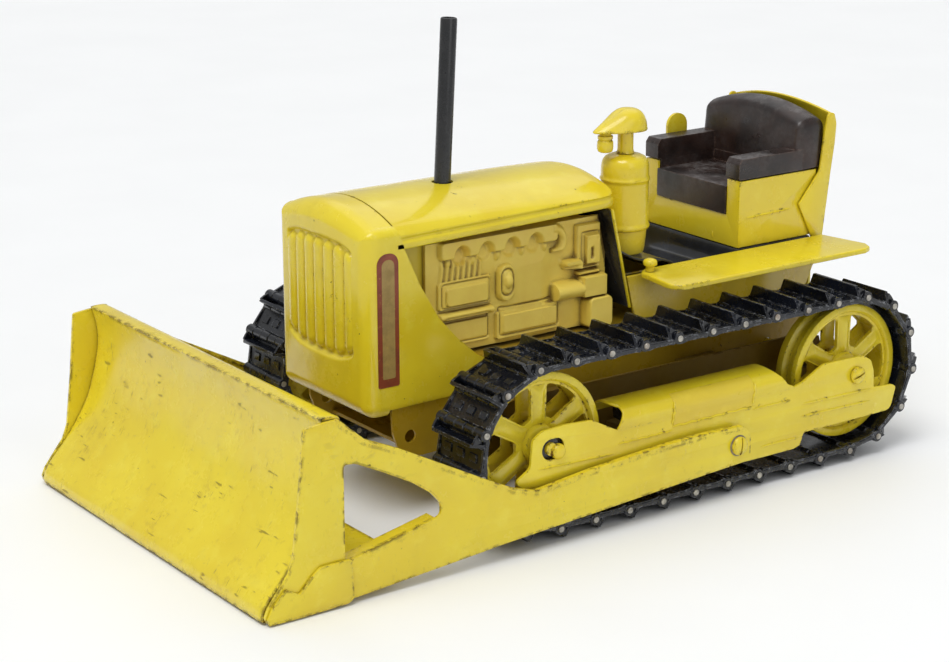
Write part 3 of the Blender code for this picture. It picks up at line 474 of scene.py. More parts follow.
def turned(name, prof, at, axis="z", steps=48):
    """prof is (radius, height) from one end to the other; a closed turned solid."""
    verts, faces, rings = [], [], []
    for r, h in prof:
        if r < 1e-6:
            rings.append([len(verts)])
            verts.append((0, 0, h))
        else:
            rings.append(list(range(len(verts), len(verts) + steps)))
            for i in range(steps):
                a = 2 * math.pi * i / steps
                verts.append((r * math.cos(a), r * math.sin(a), h))
    for A, B in zip(rings, rings[1:]):
        for i in range(steps):
            j = (i + 1) % steps
            if len(A) == 1 and len(B) == 1:
                continue
            if len(A) == 1:
                faces.append((A[0], B[j], B[i]))
            elif len(B) == 1:
                faces.append((A[i], A[j], B[0]))
            else:
                faces.append((A[i], A[j], B[j], B[i]))
    if axis == "x":
        verts = [(h, a, b) for a, b, h in verts]
    elif axis == "y":
        verts = [(b, h, a) for a, b, h in verts]
    verts = [(x + at[0], y + at[1], z + at[2]) for x, y, z in verts]
    return weld(new_mesh(name, verts, faces), 1e-7)


def inset(pts, d):
    """A dense closed outline moved inwards by d (anticlockwise or clockwise alike)."""
    P = [Vector(p) for p in pts]
    n = len(P)
    area2 = sum(P[i - 1].x * P[i].y - P[i].x * P[i - 1].y for i in range(n))
    sgn = 1 if area2 > 0 else -1
    out = []
    for i in range(n):
        a = (P[i] - P[i - 1])
        b = (P[(i + 1) % n] - P[i])
        a = a.normalized() if a.length > 1e-9 else b.normalized()
        b = b.normalized() if b.length > 1e-9 else a
        na, nb = Vector((-a.y, a.x)) * sgn, Vector((-b.y, b.x)) * sgn
        m = na + nb
        if m.length < 1e-6:
            m = na
        m = m.normalized()
        k = 1 / max(0.5, m.dot(na))
        out.append(tuple(P[i] + m * d * k))
    return out


def resample(pts, step):
    """Extra points along the long straights of a closed outline."""
    out = []
    n = len(pts)
    for i in range(n):
        a, b = Vector(pts[i]), Vector(pts[(i + 1) % n])
        k = max(1, int((b - a).length / step))
        for j in range(k):
            out.append(tuple(a + (b - a) * (j / k)))
    return out


def rings(name, outline_pts, prof, plane="xy"):
    """Closed solid from inset copies of an outline; prof is (inset, height) from end to end, both ends capped."""
    verts, faces = [], []
    n = len(outline_pts)
    for d, h in prof:
        for a, b in (inset(outline_pts, d) if abs(d) > 1e-9 else outline_pts):
            verts.append({"xy": (a, b, h), "yz": (h, a, b), "xz": (a, h, b)}[plane])
    for k in range(len(prof) - 1):
        for i in range(n):
            j = (i + 1) % n
            faces.append((k * n + i, k * n + j, (k + 1) * n + j, (k + 1) * n + i))
    faces.append(tuple(range(n))[::-1])
    faces.append(tuple((len(prof) - 1) * n + i for i in range(n)))
    return weld(new_mesh(name, verts, faces), 1e-7)


def face_up(ob, key, comp):
    """Turn a sheet so that its extreme face looks along +comp."""
    bm = bmesh.new()
    bm.from_mesh(ob.data)
    bmesh.ops.recalc_face_normals(bm, faces=bm.faces)
    f = max(bm.faces, key=key)
    if f.normal.dot(Vector(comp)) < 0:
        bmesh.ops.reverse_faces(bm, faces=bm.faces)
    bm.to_mesh(ob.data)
    bm.free()
    return ob


def boolean(ob, others, op):
    name = ob.name
    for o in others:
        m = ob.modifiers.new(op, "BOOLEAN")
        m.operation = op
        m.solver = "EXACT"
        m.object = o
    bpy.context.view_layer.update()
    n = bake(ob)
    for o in others:
        bpy.data.objects.remove(o, do_unlink=True)
    n.name = name
    return weld(n)


def join(ob, *o):
    return boolean(ob, o, "UNION")


def cut(ob, *o):
    return boolean(ob, o, "DIFFERENCE")


def merge(name, obs):
    """Several solids in one object, without a Boolean."""
    bm = bmesh.new()
    for o in obs:
        o.data.transform(o.matrix_world)
        bm.from_mesh(o.data)
        bpy.data.objects.remove(o, do_unlink=True)
    me = bpy.data.meshes.new(name)
    bm.to_mesh(me)
    bm.free()
    ob = bpy.data.objects.new(name, me)
    COL.objects.link(ob)
    return ob


def solidify(ob, thick, offset=-1):
    m = ob.modifiers.new("s", "SOLIDIFY")
    m.thickness = thick * MM
    m.offset = offset
    m.use_even_offset = True
    bpy.context.view_layer.update()
    return bake(ob)


def grid(name, rows, close=False, flip=False):
    """rows of points (all the same length) as a quad sheet."""
    n = len(rows[0])
    verts = [p for r in rows for p in r]
    faces = []
    for i in range(len(rows) - 1):
        for j in range(n if close else n - 1):
            k = (j + 1) % n
            f = (i * n + j, i * n + k, (i + 1) * n + k, (i + 1) * n + j)
            faces.append(f[::-1] if flip else f)
    return new_mesh(name, verts, faces)


def done(ob, mat, body, nodes=(), angle=38, name=None):
    if name:
        ob.name = name
    ob.data.materials.clear()
    ob.data.materials.append(M[mat] if isinstance(mat, str) else mat)
    ob.data.shade_smooth()
    ob.data.set_sharp_from_angle(angle=math.radians(angle))
    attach(ob, body)
    if nodes:
        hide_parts(*nodes)
    return ob


def mirrored(ob, name):
    me = ob.data.copy()
    me.transform(Matrix.Scale(-1, 4, (1, 0, 0)))
    me.flip_normals()
    n = bpy.data.objects.new(name, me)
    COL.objects.link(n)
    return n


def pair(ob, base, mat, body, node=None, angle=38):
    """A left-hand piece and its right-hand twin. body and node may hold {s} for the side."""
    twin = mirrored(ob, base + "_right")
    ob.name = base + "_left"
    for o, s in ((ob, "left"), (twin, "right")):
        nodes = [n.format(s=s) for n in ([node] if isinstance(node, str) else (node or []))]
        done(o, mat, body.format(s=s), nodes, angle)


def circ(a, b, r, n=32):
    return [(a + r * math.cos(2 * math.pi * i / n), b + r * math.sin(2 * math.pi * i / n)) for i in range(n)]


BODY = "machine"
AXLE_Z, REAR_Y, FRONT_Y, PIN_R = 44.8, 147.9, -40.0, 38.8
PIV = (66.7, 26.2)

# =====================================================================================
# radiator shell
# =====================================================================================
HALF = 38.5


def crown(x):
    return 146.8 - 0.0062 * x * x


def outline(d, nx=120, nz=96, rc=4.2, rb=6.0, zb=51.0, half=HALF):
    """Front outline of the radiator moved inwards by d: bottom, right, top, left."""
    pts = []
    hb = half - max(d, rb)
    zt = crown(half - rc) - rc
    rr = max(rc - d, 0.0)
    ht = half - max(d, rc)
    zc = zt if d < rc else crown(half - d) - d
    zlow = zb + max(d, rb)
    K = 8
    for i in range(nx):
        x = -hb + 2 * hb * i / (nx - 1)
        pts.append((x, zb + d))
    for k in range(1, K):
        a = math.radians(-90 + 90 * k / K)
        q = max(rb - d, 0.0)
        pts.append((hb + q * math.cos(a), zlow + q * math.sin(a)))
    for j in range(nz):
        pts.append((half - d, zlow + (zc - zlow) * j / (nz - 1)))
    for k in range(1, K):
        a = math.radians(90 * k / K)
        pts.append((ht + rr * math.cos(a), zc + rr * math.sin(a)))
    for i in range(nx):
        x = ht - 2 * ht * i / (nx - 1)
        pts.append((x, crown(x) - d if d >= rc else min(crown(x) - d, zt + rr + (crown(x) - crown(ht)))))
    left = [(-x, z) for x, z in pts[nx:nx + (K - 1) + nz + (K - 1)]][::-1]
    return pts + left


R = 8.0
SIDE = [(51.0, -24.0), (60.0, -21.0), (66.0, -24.0), (73.0, -36.3), (82.5, -47.0), (93.9, -57.5), (111.4, -67.8), (128.3, -75.6),
        (133.0, -77.0), (140.5, -80.2)]


def side_back(z):
    if z <= SIDE[0][0]:
        return SIDE[0][1]
    for (z0, y0), (z1, y1) in zip(SIDE, SIDE[1:]):
        if z <= z1:
            return y0 + (y1 - y0) * (z - z0) / (z1 - z0)
    return SIDE[-1][1]


def back_of(x, z):
    if abs(x) < HALF - 0.4 and z < 56:
        return -84.5 + (abs(x) > 32.6) * 0.0
    if z > 139.5:
        return -80.2
    return min(side_back(z), -24.0 if z < 66 else 0)


def bow(x):
    return 1.7 * max(0.0, 1 - (x / 30.5) ** 2)


NX, NZ = 140, 110
base = outline(0, NX, NZ)
rows = []
for k in range(9):
    t = (k / 8) ** 0.9
    rows.append([(x, (1 - t) * back_of(x, z) + t * (-89.0), z) for x, z in base])
for k in range(1, 13):
    a = math.pi / 2 * k / 12
    d = R * (1 - math.cos(a))
    yy = -89.0 - R * math.sin(a)
    rows.append([(x, yy - bow(x) * (d / R) ** 1.5, z) for x, z in outline(d, NX, NZ)])
shell = grid("radiator", rows, close=True)
# front face inside the rounded border, with the pressed grille
h8 = HALF - R


def sstep(a, b, v):
    t = np.clip((v - a) / (b - a), 0, 1)
    return t * t * (3 - 2 * t)


fx = np.linspace(-h8, h8, NX)
GR_X = 27.0


def grille(x, z):
    """Depth of the face at (x, z): recessed field with seven rounded upright ribs."""
    low = 76.2 + 4.2 * (abs(x) / GR_X) ** 4
    cx, cz = max(abs(x) - (GR_X - 5.0), 0), 0.0
    top = 131.5 - 3.5 * (abs(x) / GR_X) ** 4
    m = (1 - sstep(GR_X - 0.9, GR_X + 0.9, abs(x))) * sstep(low - 1.0, low + 1.0, z) * (1 - sstep(top - 0.9, top + 0.9, z))
    rib = 0.0
    for k in range(7):
        c = -24.6 + 8.2 * k
        u = (x - c) / 3.85
        if abs(u) < 1:
            zl, zh = low + 1.8, top - 1.5
            e = 4.0
            if z < zl + e:
                v = (zl + e - z) / e
            elif z > zh - e:
                v = (z - (zh - e)) / e
            else:
                v = 0.0
            q = 1 - u * u - v * v
            if q > 0:
                rib = max(rib, math.sqrt(q))
    return 1.9 * m - 2.35 * rib * m


verts, faces = [], []
for j in range(NZ):
    v = j / (NZ - 1)
    for i in range(NX):
        x = float(fx[i])
        zb, zt = 51.0 + R, crown(x) - R
        z = zb + (zt - zb) * v
        verts.append((x, -97.0 - bow(x) + grille(x, z), z))
for j in range(NZ - 1):
    for i in range(NX - 1):
        a = j * NX + i
        faces.append((a, a + 1, a + NX + 1, a + NX))
face = new_mesh("face", verts, faces)
shell = weld(merge("radiator", [shell, face]), 3e-5)
shell = solidify(shell, 1.3, -1)
done(shell, "yel", BODY, ["radiator_shell"], angle=50, name="radiator_shell_pressed")

# =====================================================================================
# hood
# =====================================================================================


def lip_z(y):
    return 129.1 + (y + 77) * (131.8 - 129.1) / 122


def hood_top(x, y):
    t = max(0.0, min(1.0, (y - 6.0) / 46.0))
    return crown(x) - 1.0 * t * t


def hood_plan():
    """Plan of the lip from the front left round the back to the front right, as (x, y)."""
    half = []
    for y in np.linspace(-79.3, 36.0, 46):
        half.append((HALF, float(y)))
    for k in range(1, 17):
        a = math.radians(90 * k / 16)
        half.append((HALF - 14.5 + 14.5 * math.cos(a) ** 0.92, 36.0 + 14.6 * math.sin(a) ** 0.95))
    x1, y1 = half[-1]
    for k in range(1, 22):
        x = x1 * (1 - k / 21)
        half.append((x, y1 + 1.8 * (1 - (x / x1) ** 2)))
    return half


def hood_skin(off):
    """The hood's surface moved inwards by off: rings up the side, then the crowned top."""
    half = hood_plan()
    n = len(half)
    nrm = []
    for i in range(n):
        a = Vector(half[max(i - 1, 0)])
        b = Vector(half[min(i + 1, n - 1)])
        d = (b - a).normalized()
        nrm.append(Vector((-d.y, d.x)) if i < n - 1 else Vector((0, -1)))
    prof = [(0.55, 0.0, "lip"), (0.12, 0.0, "lip"), (0.0, 0.35, "lip"), (0.0, 2.3, "lip"), (0.12, 2.9, "lip"), (0.75, 3.5, "lip"),
            (1.05, 4.1, "lip"), (1.0, 4.7, "lip"), (0.55, 5.5, "lip")]
    cols = []
    for i, ((x, y), nv) in enumerate(zip(half, nrm)):
        t = max(0.0, min(1.0, (y - 30.0) / 18.0))
        rho = 5.0 + 4.6 * t * t * (3 - 2 * t)
        zl = lip_z(y)
        col = []
        for e, dz, _ in prof:
            q = Vector((x, y)) + nv * (e + off)
            col.append((q.x, q.y, zl + dz + (off if dz == 0.0 else 0.0)))
        e0 = 0.55
        for k in range(1, 13):
            a = math.radians(90 * k / 12)
            q = Vector((x, y)) + nv * (e0 + off + (rho - 0.0) * (1 - math.cos(a)))
            zt = hood_top(q.x, q.y) - off
            z0 = zl + 5.5
            drop = max(zt - z0, 0.5)
            z = z0 + drop * math.sin(a) ** ((1.0 if drop < rho * 1.3 else 0.85) - 0.24 * t)
            col.append((max(q.x, 0.0), q.y, z))
        cols.append(col)
    m = len(cols[0])
    return cols, m


def hood_mesh():
    V, F = [], []
    skins = []
    for off in (0.0, 1.2):
        cols, m = hood_skin(off)
        n = len(cols)
        idx = {}
        base_v = len(V)
        # right half then its mirror
        for i, col in enumerate(cols):
            for k, (x, y, z) in enumerate(col):
                idx[("r", i, k)] = len(V)
                V.append((x, y, z))
        for i, col in enumerate(cols):
            for k, (x, y, z) in enumerate(col):
                idx[("l", i, k)] = len(V)
                V.append((-x, y, z))
        fl = off > 0
        for sd in "rl":
            for i in range(n - 1):
                for k in range(m - 1):
                    q = (idx[(sd, i, k)], idx[(sd, i + 1, k)], idx[(sd, i + 1, k + 1)], idx[(sd, i, k + 1)])
                    if (sd == "l") != fl:
                        q = q[::-1]
                    F.append(q)
        # crowned top: straight rows across from edge to edge
        NR = 40
        grid_i = []
        for i in range(n):
            x, y, z = cols[i][-1]
            row = [idx[("r", i, m - 1)]]
            for j in range(1, NR):
                xx = x * (1 - 2 * j / NR)
                zz = hood_top(xx, y) - off
                row.append(len(V))
                V.append((xx, y, zz))
            row.append(idx[("l", i, m - 1)])
            grid_i.append(row)
        for i in range(n - 1):
            for j in range(NR):
                q = (grid_i[i][j], grid_i[i + 1][j], grid_i[i + 1][j + 1], grid_i[i][j + 1])
                F.append(q[::-1] if fl else q)
        edge_r = [idx[("r", i, 0)] for i in range(n)]
        edge_l = [idx[("l", i, 0)] for i in range(n)]
        front = [idx[("r", 0, k)] for k in range(m)] + grid_i[0][1:-1] + [idx[("l", 0, k)] for k in range(m - 1, -1, -1)]
        skins.append((edge_r, edge_l, front))
    (ar, al, af), (br_, bl, bf) = skins
    for A, B, fl in ((ar, br_, True), (al, bl, False), (af, bf, False)):
        for i in range(len(A) - 1):
            q = (A[i], A[i + 1], B[i + 1], B[i])
            F.append(q[::-1] if fl else q)
    ob = new_mesh("hood", V, F)
    return weld(ob, 2e-6)


hood = hood_mesh()
# the stack comes up through an oversize hole
hole = turned("h", [(0, 130), (5.1, 130), (5.1, 160), (0, 160)], (0, -28.6, 0), "z", 40)
hood = cut(hood, hole)
done(hood, "yel_hood", BODY, ["hood"], angle=42, name="hood_pressed")

# dark strip under the joint between radiator and hood: painted shade in the seam's gap
rows = []
for y in (-82.6, -80.0, -77.2):
    rows.append([(float(x), y, crown(x) - 1.75 - (0.9 * max(0.0, (abs(x) - 31.0) / 5.0) ** 2)) for x in np.linspace(-35.6, 35.6, 50)])
seam_shade = solidify(face_up(grid("seam_shade", rows), lambda q: q.calc_center_median().z, (0, 0, 1)), 0.8, -1)
done(seam_shade, "stack", BODY, name="hood_seam_shade_strip")

# =====================================================================================
# exhaust stack
# =====================================================================================
st = turned("stack", [(0, 124.5), (3.95, 124.5), (3.95, 222.9), (3.7, 223.5), (3.2, 223.7), (2.9, 223.4), (2.8, 210), (0, 210)],
            (0, 0, 0), "z", 56)
about = Matrix.Translation((0, -28.6 * MM, 146.0 * MM))
st.data.transform(about @ Matrix.Rotation(-math.radians(3.2), 4, "X") @ Matrix.Translation((0, 0, -146.0 * MM)))
done(st, "stack", BODY, ["exhaust_stack"], name="exhaust_stack_tube")

# =====================================================================================
# engine relief: a cast height field on each side of the block
# =====================================================================================
STEP = 0.42
gy = np.arange(-58.0, 48.0 + STEP, STEP)
gz = np.arange(72.7, 126.0 + STEP * 0.5, STEP)
YY, ZZ = np.meshgrid(gy, gz)


def rbox(y0, z0, y1, z1, r):
    """Signed distance to a rounded rectangle (negative inside)."""
    cy, cz = (y0 + y1) / 2, (z0 + z1) / 2
    qy = np.abs(YY - cy) - (y1 - y0) / 2 + r
    qz = np.abs(ZZ - cz) - (z1 - z0) / 2 + r
    return np.hypot(np.maximum(qy, 0), np.maximum(qz, 0)) + np.minimum(np.maximum(qy, qz), 0) - r


def lift(H, sd, height, slope=0.55):
    """Raise the field inside a shape to a height, with a draft of that width."""
    return np.maximum(H, height * (1 - sstep(-slope, slope * 0.4, sd)))


def groove(H, sd, depth, w=0.5):
    return H - depth * np.exp(-(sd / w) ** 2)


H = np.full_like(YY, 1.2)
# main block, with a slightly bulged middle
H = lift(H, rbox(-53.0, 72.0, 24.0, 130, 2.0), 2.6)
mid = rbox(-20.0, 70.0, 15.0, 117.0, 6.0)
H = np.maximum(H, 2.6 + 1.8 * (1 - sstep(-9, 0.5, mid)))
# flared ribs under the ports
for k in range(8):
    c0 = -50.2 + 3.15 * k
    cen = c0 + (ZZ - 107) * 0.10
    sd = np.abs(YY - cen)
    amp = (1 - sstep(106.5, 108.3, 213.5 - ZZ)) if False else sstep(106.2, 108.2, ZZ) * (1 - sstep(114.0, 119.0, ZZ))
    H = H + amp * 1.5 * np.clip(1 - (sd / 1.25) ** 2, 0, 1)
# manifold: a scalloped bulge along the top with dark ports under it
man = rbox(-52.0, 117.0, 17.0, 127.5, 3.0)
H = lift(H, man, 6.0, 1.6)
for c in (-39.3, -25.3, -10.6, 3.0):
    sd = np.hypot((YY - c) / 1.0, (ZZ - 118.6) / 1.15) - 3.9
    H = H - (H - 1.4) * (1 - sstep(-1.1, 0.9, sd))
for c in (-46.2, -32.3, -18.0, -3.8, 9.6):
    sd = np.hypot((YY - c) / 0.9, (ZZ - 116.0) / 1.6) - 3.4
    H = np.maximum(H, 4.6 * (1 - sstep(-3.0, 0.6, sd)))
# the elbow that curls down at the rear end
el_r = np.hypot(YY - 13.6, ZZ - 117.6)
elbow = np.abs(el_r - 6.2) - 2.9
H = np.where((YY > 13.0), np.maximum(H, 6.6 * np.sqrt(np.clip(1 - ((el_r - 6.2) / 3.1) ** 2, 0, 1)) * sstep(110.5, 113.5, ZZ)), H)
# side cover with its window
H = lift(H, rbox(-52.2, 93.6, -21.6, 107.6, 1.6), 4.0)
H = groove(H, rbox(-49.6, 94.4, -22.6, 106.0, 1.6), 0.9, 0.45)
H = lift(H, rbox(-48.0, 95.2, -23.6, 104.6, 2.0), 5.2)
# round strip
st_ = np.clip(1 - ((ZZ - 90.6) / 2.1) ** 2, 0, 1)
H = np.maximum(H, (2.6 + 3.6 * np.sqrt(st_)) * (1 - sstep(-0.5, 0.4, rbox(-52.0, 88.4, -21.0, 92.8, 1.0))))
# lower box with a lip along its foot
H = lift(H, rbox(-50.0, 75.6, -22.4, 87.4, 1.2), 4.0)
H = groove(H, rbox(-48.8, 77.4, -23.6, 90.0, 1.0), 0.8, 0.4)
# oil filler: two nested stadium bosses and a dome
def stadium(cy, z0, z1, r):
    return np.hypot(YY - cy, ZZ - np.clip(ZZ, z0 + r, z1 - r)) - r
H = lift(H, stadium(-14.0, 92.8, 111.6, 5.1), 6.4, 0.9)
H = groove(H, stadium(-14.0, 96.2, 109.0, 3.2), 1.0, 0.4)
H = lift(H, stadium(-14.0, 96.6, 108.6, 2.9), 7.0, 0.6)
dm = np.hypot(YY + 13.9, (ZZ - 103.2) / 1.5)
H = np.maximum(H, (7.0 + 2.0 * np.sqrt(np.clip(1 - (dm / 2.3) ** 2, 0, 1))) * (dm < 2.3))
# lower rear cover
H = lift(H, rbox(-19.6, 74.6, 18.2, 88.4, 1.6), 4.8)
H = groove(H, rbox(-17.2, 76.6, 16.8, 90.0, 1.0), 0.9, 0.42)
H = lift(H, rbox(-16.4, 77.4, 16.0, 86.8, 1.2), 5.6)
H = lift(H, rbox(-9.0, 86.0, 8.0, 90.4, 2.0), 4.8, 1.0)
# starter: a horizontal barrel and its square end
bar = np.clip(1 - ((ZZ - 92.4) / 4.9) ** 2, 0, 1)
H = np.maximum(H, (1.2 + 8.6 * np.sqrt(bar)) * (1 - sstep(-0.5, 0.5, rbox(13.8, 86.0, 30.5, 98.5, 0.8))))
H = lift(H, rbox(29.0, 88.0, 43.8, 98.8, 0.8), 9.6, 0.7)
H = lift(H, rbox(27.6, 98.2, 41.4, 101.6, 1.2), 6.8, 1.2)
# low block with rounded shoulders, and the plain recess beside it
H = lift(H, rbox(32.0, 71.5, 46.6, 88.2, 3.0), 10.4, 0.9)
H = lift(H, rbox(44.5, 71.5, 47.8, 80.0, 0.6), 6.0, 0.7)
# bracket: ramp with a rolled top edge
ramp = np.clip((YY - 17.0) / 12.0, 0, 1)
tri = np.maximum(np.maximum(102.4 + 0 * YY - ZZ, ZZ - (108.2 - (YY - 17.5) * 0.16)), np.maximum(17.4 + np.abs(ZZ - 106.5) * 0.9 - YY, YY - 29.4))
H = np.maximum(H, (2.0 + 6.4 * ramp) * (1 - sstep(-0.4, 0.4, tri)))
H = np.maximum(H, (8.2 - 0.02 * (YY - 20)) * (1 - sstep(-0.6, 0.5, rbox(19.5, 104.2, 29.6, 107.4, 1.4))))
# instrument box on its back plate
H = lift(H, rbox(27.6, 101.4, 42.4, 123.6, 0.6), 5.2, 0.6)
H = groove(H, rbox(30.8, 103.0, 41.2, 119.4, 0.8), 0.8, 0.4)
H = lift(H, rbox(31.6, 103.8, 40.6, 118.6, 1.0), 7.6, 0.6)
H = H - 1.6 * (1 - sstep(-0.5, 0.4, stadium(35.6, 106.4, 112.4, 0.9)))
H = H - 0.5 * np.exp(-((np.hypot(YY - 33.2, ZZ - 116.4)) / 0.5) ** 2) - 0.5 * np.exp(-((np.hypot(YY - 39.0, ZZ - 116.4)) / 0.5) ** 2)
H = np.clip(H, 0.8, 10.5)
# nothing stands in front of the leaning firewall
edge_y = np.interp(ZZ, [72, 88.5, 100, 126], [48, 47.6, 47.0, 42.0])
H = np.where(YY > edge_y, 0.8, H)

ny, nz = len(gy), len(gz)
verts = [(25.9 + float(H[j, i]), float(gy[i]), float(gz[j])) for j in range(nz) for i in range(ny)]
faces = []
for j in range(nz - 1):
    for i in range(ny - 1):
        a = j * ny + i
        faces.append((a, a + 1, a + ny + 1, a + ny))
ring = [i for i in range(ny)] + [j * ny + ny - 1 for j in range(1, nz)] + \
       [(nz - 1) * ny + i for i in range(ny - 2, -1, -1)] + [j * ny for j in range(nz - 2, 0, -1)]
b0 = len(verts)
for r in ring:
    verts.append((25.85, verts[r][1], verts[r][2]))
m = len(ring)
for k in range(m):
    faces.append((ring[(k + 1) % m], ring[k], b0 + k, b0 + (k + 1) % m))
faces.append(tuple(b0 + k for k in range(m)))
relief = weld(new_mesh("relief", verts, faces), 1e-7)
pair(relief, "engine_relief_cast", "engine", BODY, "engine_relief_{s}", angle=60)

# front shroud sheet between radiator and engine block
sh = prism("shroud", fil([(-70.5, 74.5, 1), (-55.5, 74.5, 1), (-54.4, 126.6, 1), (-71.0, 126.6, 1)]), "yz", 24.4, 25.6, bevel=0.3)
pair(sh, "engine_shroud", "yel_dull", BODY)


# =====================================================================================
# tracks: thirty-one shoes a side, each with its plate, cleat, links and pin
# =====================================================================================
LINKS = 31
SPAN = REAR_Y - FRONT_Y
LOOP = 2 * SPAN + 2 * math.pi * PIN_R
PITCH = LOOP / LINKS
PHASE = 13.0


def on_track(s):
    """Point on the pin line and its travel direction, at distance s from the front wheel's top."""
    s %= LOOP
    half = math.pi * PIN_R
    if s < SPAN:
        return FRONT_Y + s, AXLE_Z + PIN_R, 0.0
    s -= SPAN
    if s < half:
        a = s / PIN_R
        return REAR_Y + PIN_R * math.sin(a), AXLE_Z + PIN_R * math.cos(a), -a
    s -= half
    if s < SPAN:
        return REAR_Y - s, AXLE_Z - PIN_R, -math.pi
    s -= SPAN
    a = s / PIN_R
    return FRONT_Y - PIN_R * math.sin(a), AXLE_Z - PIN_R * math.cos(a), -math.pi - a


TI, TO = 66.3, 101.4
# shoe plate: side view along the pitch from its own pin (0) to the next (20)
plate = prism("p", fil([(1.0, -1.5), (18.6, -1.5), (18.6, -0.2, 0.4), (2.6, -0.2), (1.0, 0.8, 0.6)], 2), "yz", TI, TO, bevel=0.12, seg=1)
# cleat: tall upright blade, both ends slanted
CY0, CY1 = 14.1, 15.7
cl = prism("c", fil([(TI + 0.3, -0.3), (TO - 0.3, -0.3), (TO - 0.5, 0.8), (TO - 3.4, 5.95, 0.3), (TI + 2.5, 5.95, 0.3), (TI + 0.5, 0.8)], 2),
           "xz", CY0, CY1, bevel=0.16, seg=1)
shoe_parts = [plate, cl]
# broken hinge bead along the foot of the cleat
for xa, xb in ((TI + 0.6, TI + 7.6), (TI + 8.4, TI + 17.2), (TI + 18.0, TI + 26.6), (TI + 27.4, TO - 0.8)):
    shoe_parts.append(prism("b", fil([(12.9, -0.2), (12.9, 0.55, 0.3), (14.2, 1.05, 0.3), (14.2, -0.2)], 2), "yz", xa, xb, bevel=0.1, seg=1))
# pressed lugs in the floor of the shoe
for xc in (TI + 8.0, TI + 17.5, TI + 27.0):
    shoe_parts.append(prism("u", fil([(5.6, -0.2), (5.9, 0.45, 0.3), (9.6, 0.45, 0.3), (9.9, -0.2)], 2), "yz", xc - 2.4, xc + 2.4, bevel=0.18, seg=1))
# gussets from the ends of the cleat down to the hinge
for x0 in (TI + 1.4, TO - 3.0):
    shoe_parts.append(prism("g", fil([(15.4, -0.4), (15.4, 5.4, 0.3), (17.6, 4.4, 0.9), (21.6, 1.9, 0.9), (21.6, -0.4)], 3), "yz", x0, x0 + 1.3,
                            bevel=0.12, seg=1))
# link side plates at both edges, inside the shoe, joined at the pins
for x0 in (TI + 0.3, TO - 1.6):
    shoe_parts.append(prism("s", fil([(-2.6, 0.4, 1.2), (-2.6, -2.4, 1.8), (2.4, -2.9, 1.8), (5.5, -2.2, 1.5), (14.5, -2.2, 1.5),
                                      (17.4, -2.8, 1.2), (17.8, 0.0, 0.3), (0.5, 0.9, 0.3)], 3), "yz", x0, x0 + 1.3, bevel=0.15, seg=1))
for x0 in (TI + 1.9, TO - 3.2):
    shoe_parts.append(prism("s", fil([(15.6, 0.0, 0.3), (15.8, -1.9, 1.2), (17.2, -2.9, 1.6), (22.3, -2.9, 1.8), (22.6, 0.6, 1.4),
                                      (19.0, 1.0, 0.5)], 3), "yz", x0, x0 + 1.3, bevel=0.15, seg=1))
# hinge knuckles: five rolled tubes end to end on the pin
edges_x = np.linspace(TI + 0.1, TO + 0.5, 6)
for k in range(5):
    xa, xb, rr = edges_x[k] + 0.16, edges_x[k + 1] - 0.16, (2.9 if k % 2 == 0 else 2.7)
    shoe_parts.append(turned("t", [(1.2, xa), (rr - 0.35, xa), (rr, xa + 0.35), (rr, xb - 0.35), (rr - 0.35, xb), (1.2, xb), (1.2, xa)],
                             (0, 0, 0), "x", 22))
shoe = merge("shoe", shoe_parts)
shoe.data.shade_smooth()
shoe.data.set_sharp_from_angle(angle=math.radians(35))
pin = merge("pin", [turned("q", [(0, TO - 6), (1.5, TO - 6), (1.5, TO + 0.75), (1.35, TO + 0.95), (0.9, TO + 1.0), (0, TO + 1.0)],
                           (0, 0, 0), "x", 18),
                    turned("q", [(0, TI + 5), (1.45, TI + 5), (1.45, TI - 0.0), (1.1, TI - 0.1), (0, TI - 0.1)][::-1], (0, 0, 0), "x", 14)])
pin.data.shade_smooth()
pin.data.set_sharp_from_angle(angle=math.radians(35))
rng = np.random.default_rng(7)


def chain(src, name, mat, node, wobble):
    """The shoe (or pin) at each station, all in one object per side."""
    co = np.array([v.co for v in src.data.vertices])
    polys = [tuple(p.vertices) for p in src.data.polygons]
    for side, sx in (("left", 1), ("right", -1)):
        V, F = [], []
        for i in range(LINKS):
            y0, z0, a0 = on_track(PHASE + i * PITCH)
            y1, z1, _ = on_track(PHASE + (i + 1) * PITCH)
            a = math.atan2(z1 - z0, y1 - y0)
            tilt = wobble[side][i]
            c, s = math.cos(a), math.sin(a)
            nu = np.empty_like(co)
            x = co[:, 0] + tilt[1] * MM
            y, z = co[:, 1], co[:, 2]
            # local outward is +z when the chain runs toward +Y over the top
            yy = y * c + z * s * -1.0
            zz = y * s + z * c
            nu[:, 0] = x * sx
            nu[:, 1] = yy + y0 * MM
            nu[:, 2] = zz + z0 * MM
            base_i = len(V)
            V.extend(map(tuple, nu))
            if sx > 0:
                F.extend([tuple(base_i + k for k in p) for p in polys])
            else:
                F.extend([tuple(base_i + k for k in p[::-1]) for p in polys])
        me = bpy.data.meshes.new(name)
        me.from_pydata(V, [], F)
        ob = bpy.data.objects.new(f"{name}_{side}", me)
        COL.objects.link(ob)
        done(ob, mat, BODY, [node.format(s=side)] if node else (), 35)


wob = {s: [(0.0, float(rng.normal(0, 0.08))) for _ in range(LINKS)] for s in ("left", "right")}
chain(shoe, "track_shoes", "track", "track_{s}", wob)
chain(pin, "track_pins", "steel", None, wob)
bpy.data.objects.remove(shoe, do_unlink=True)
bpy.data.objects.remove(pin, do_unlink=True)

# =====================================================================================
# wheels: pressed spoked disc, two rims and a hub
# =====================================================================================


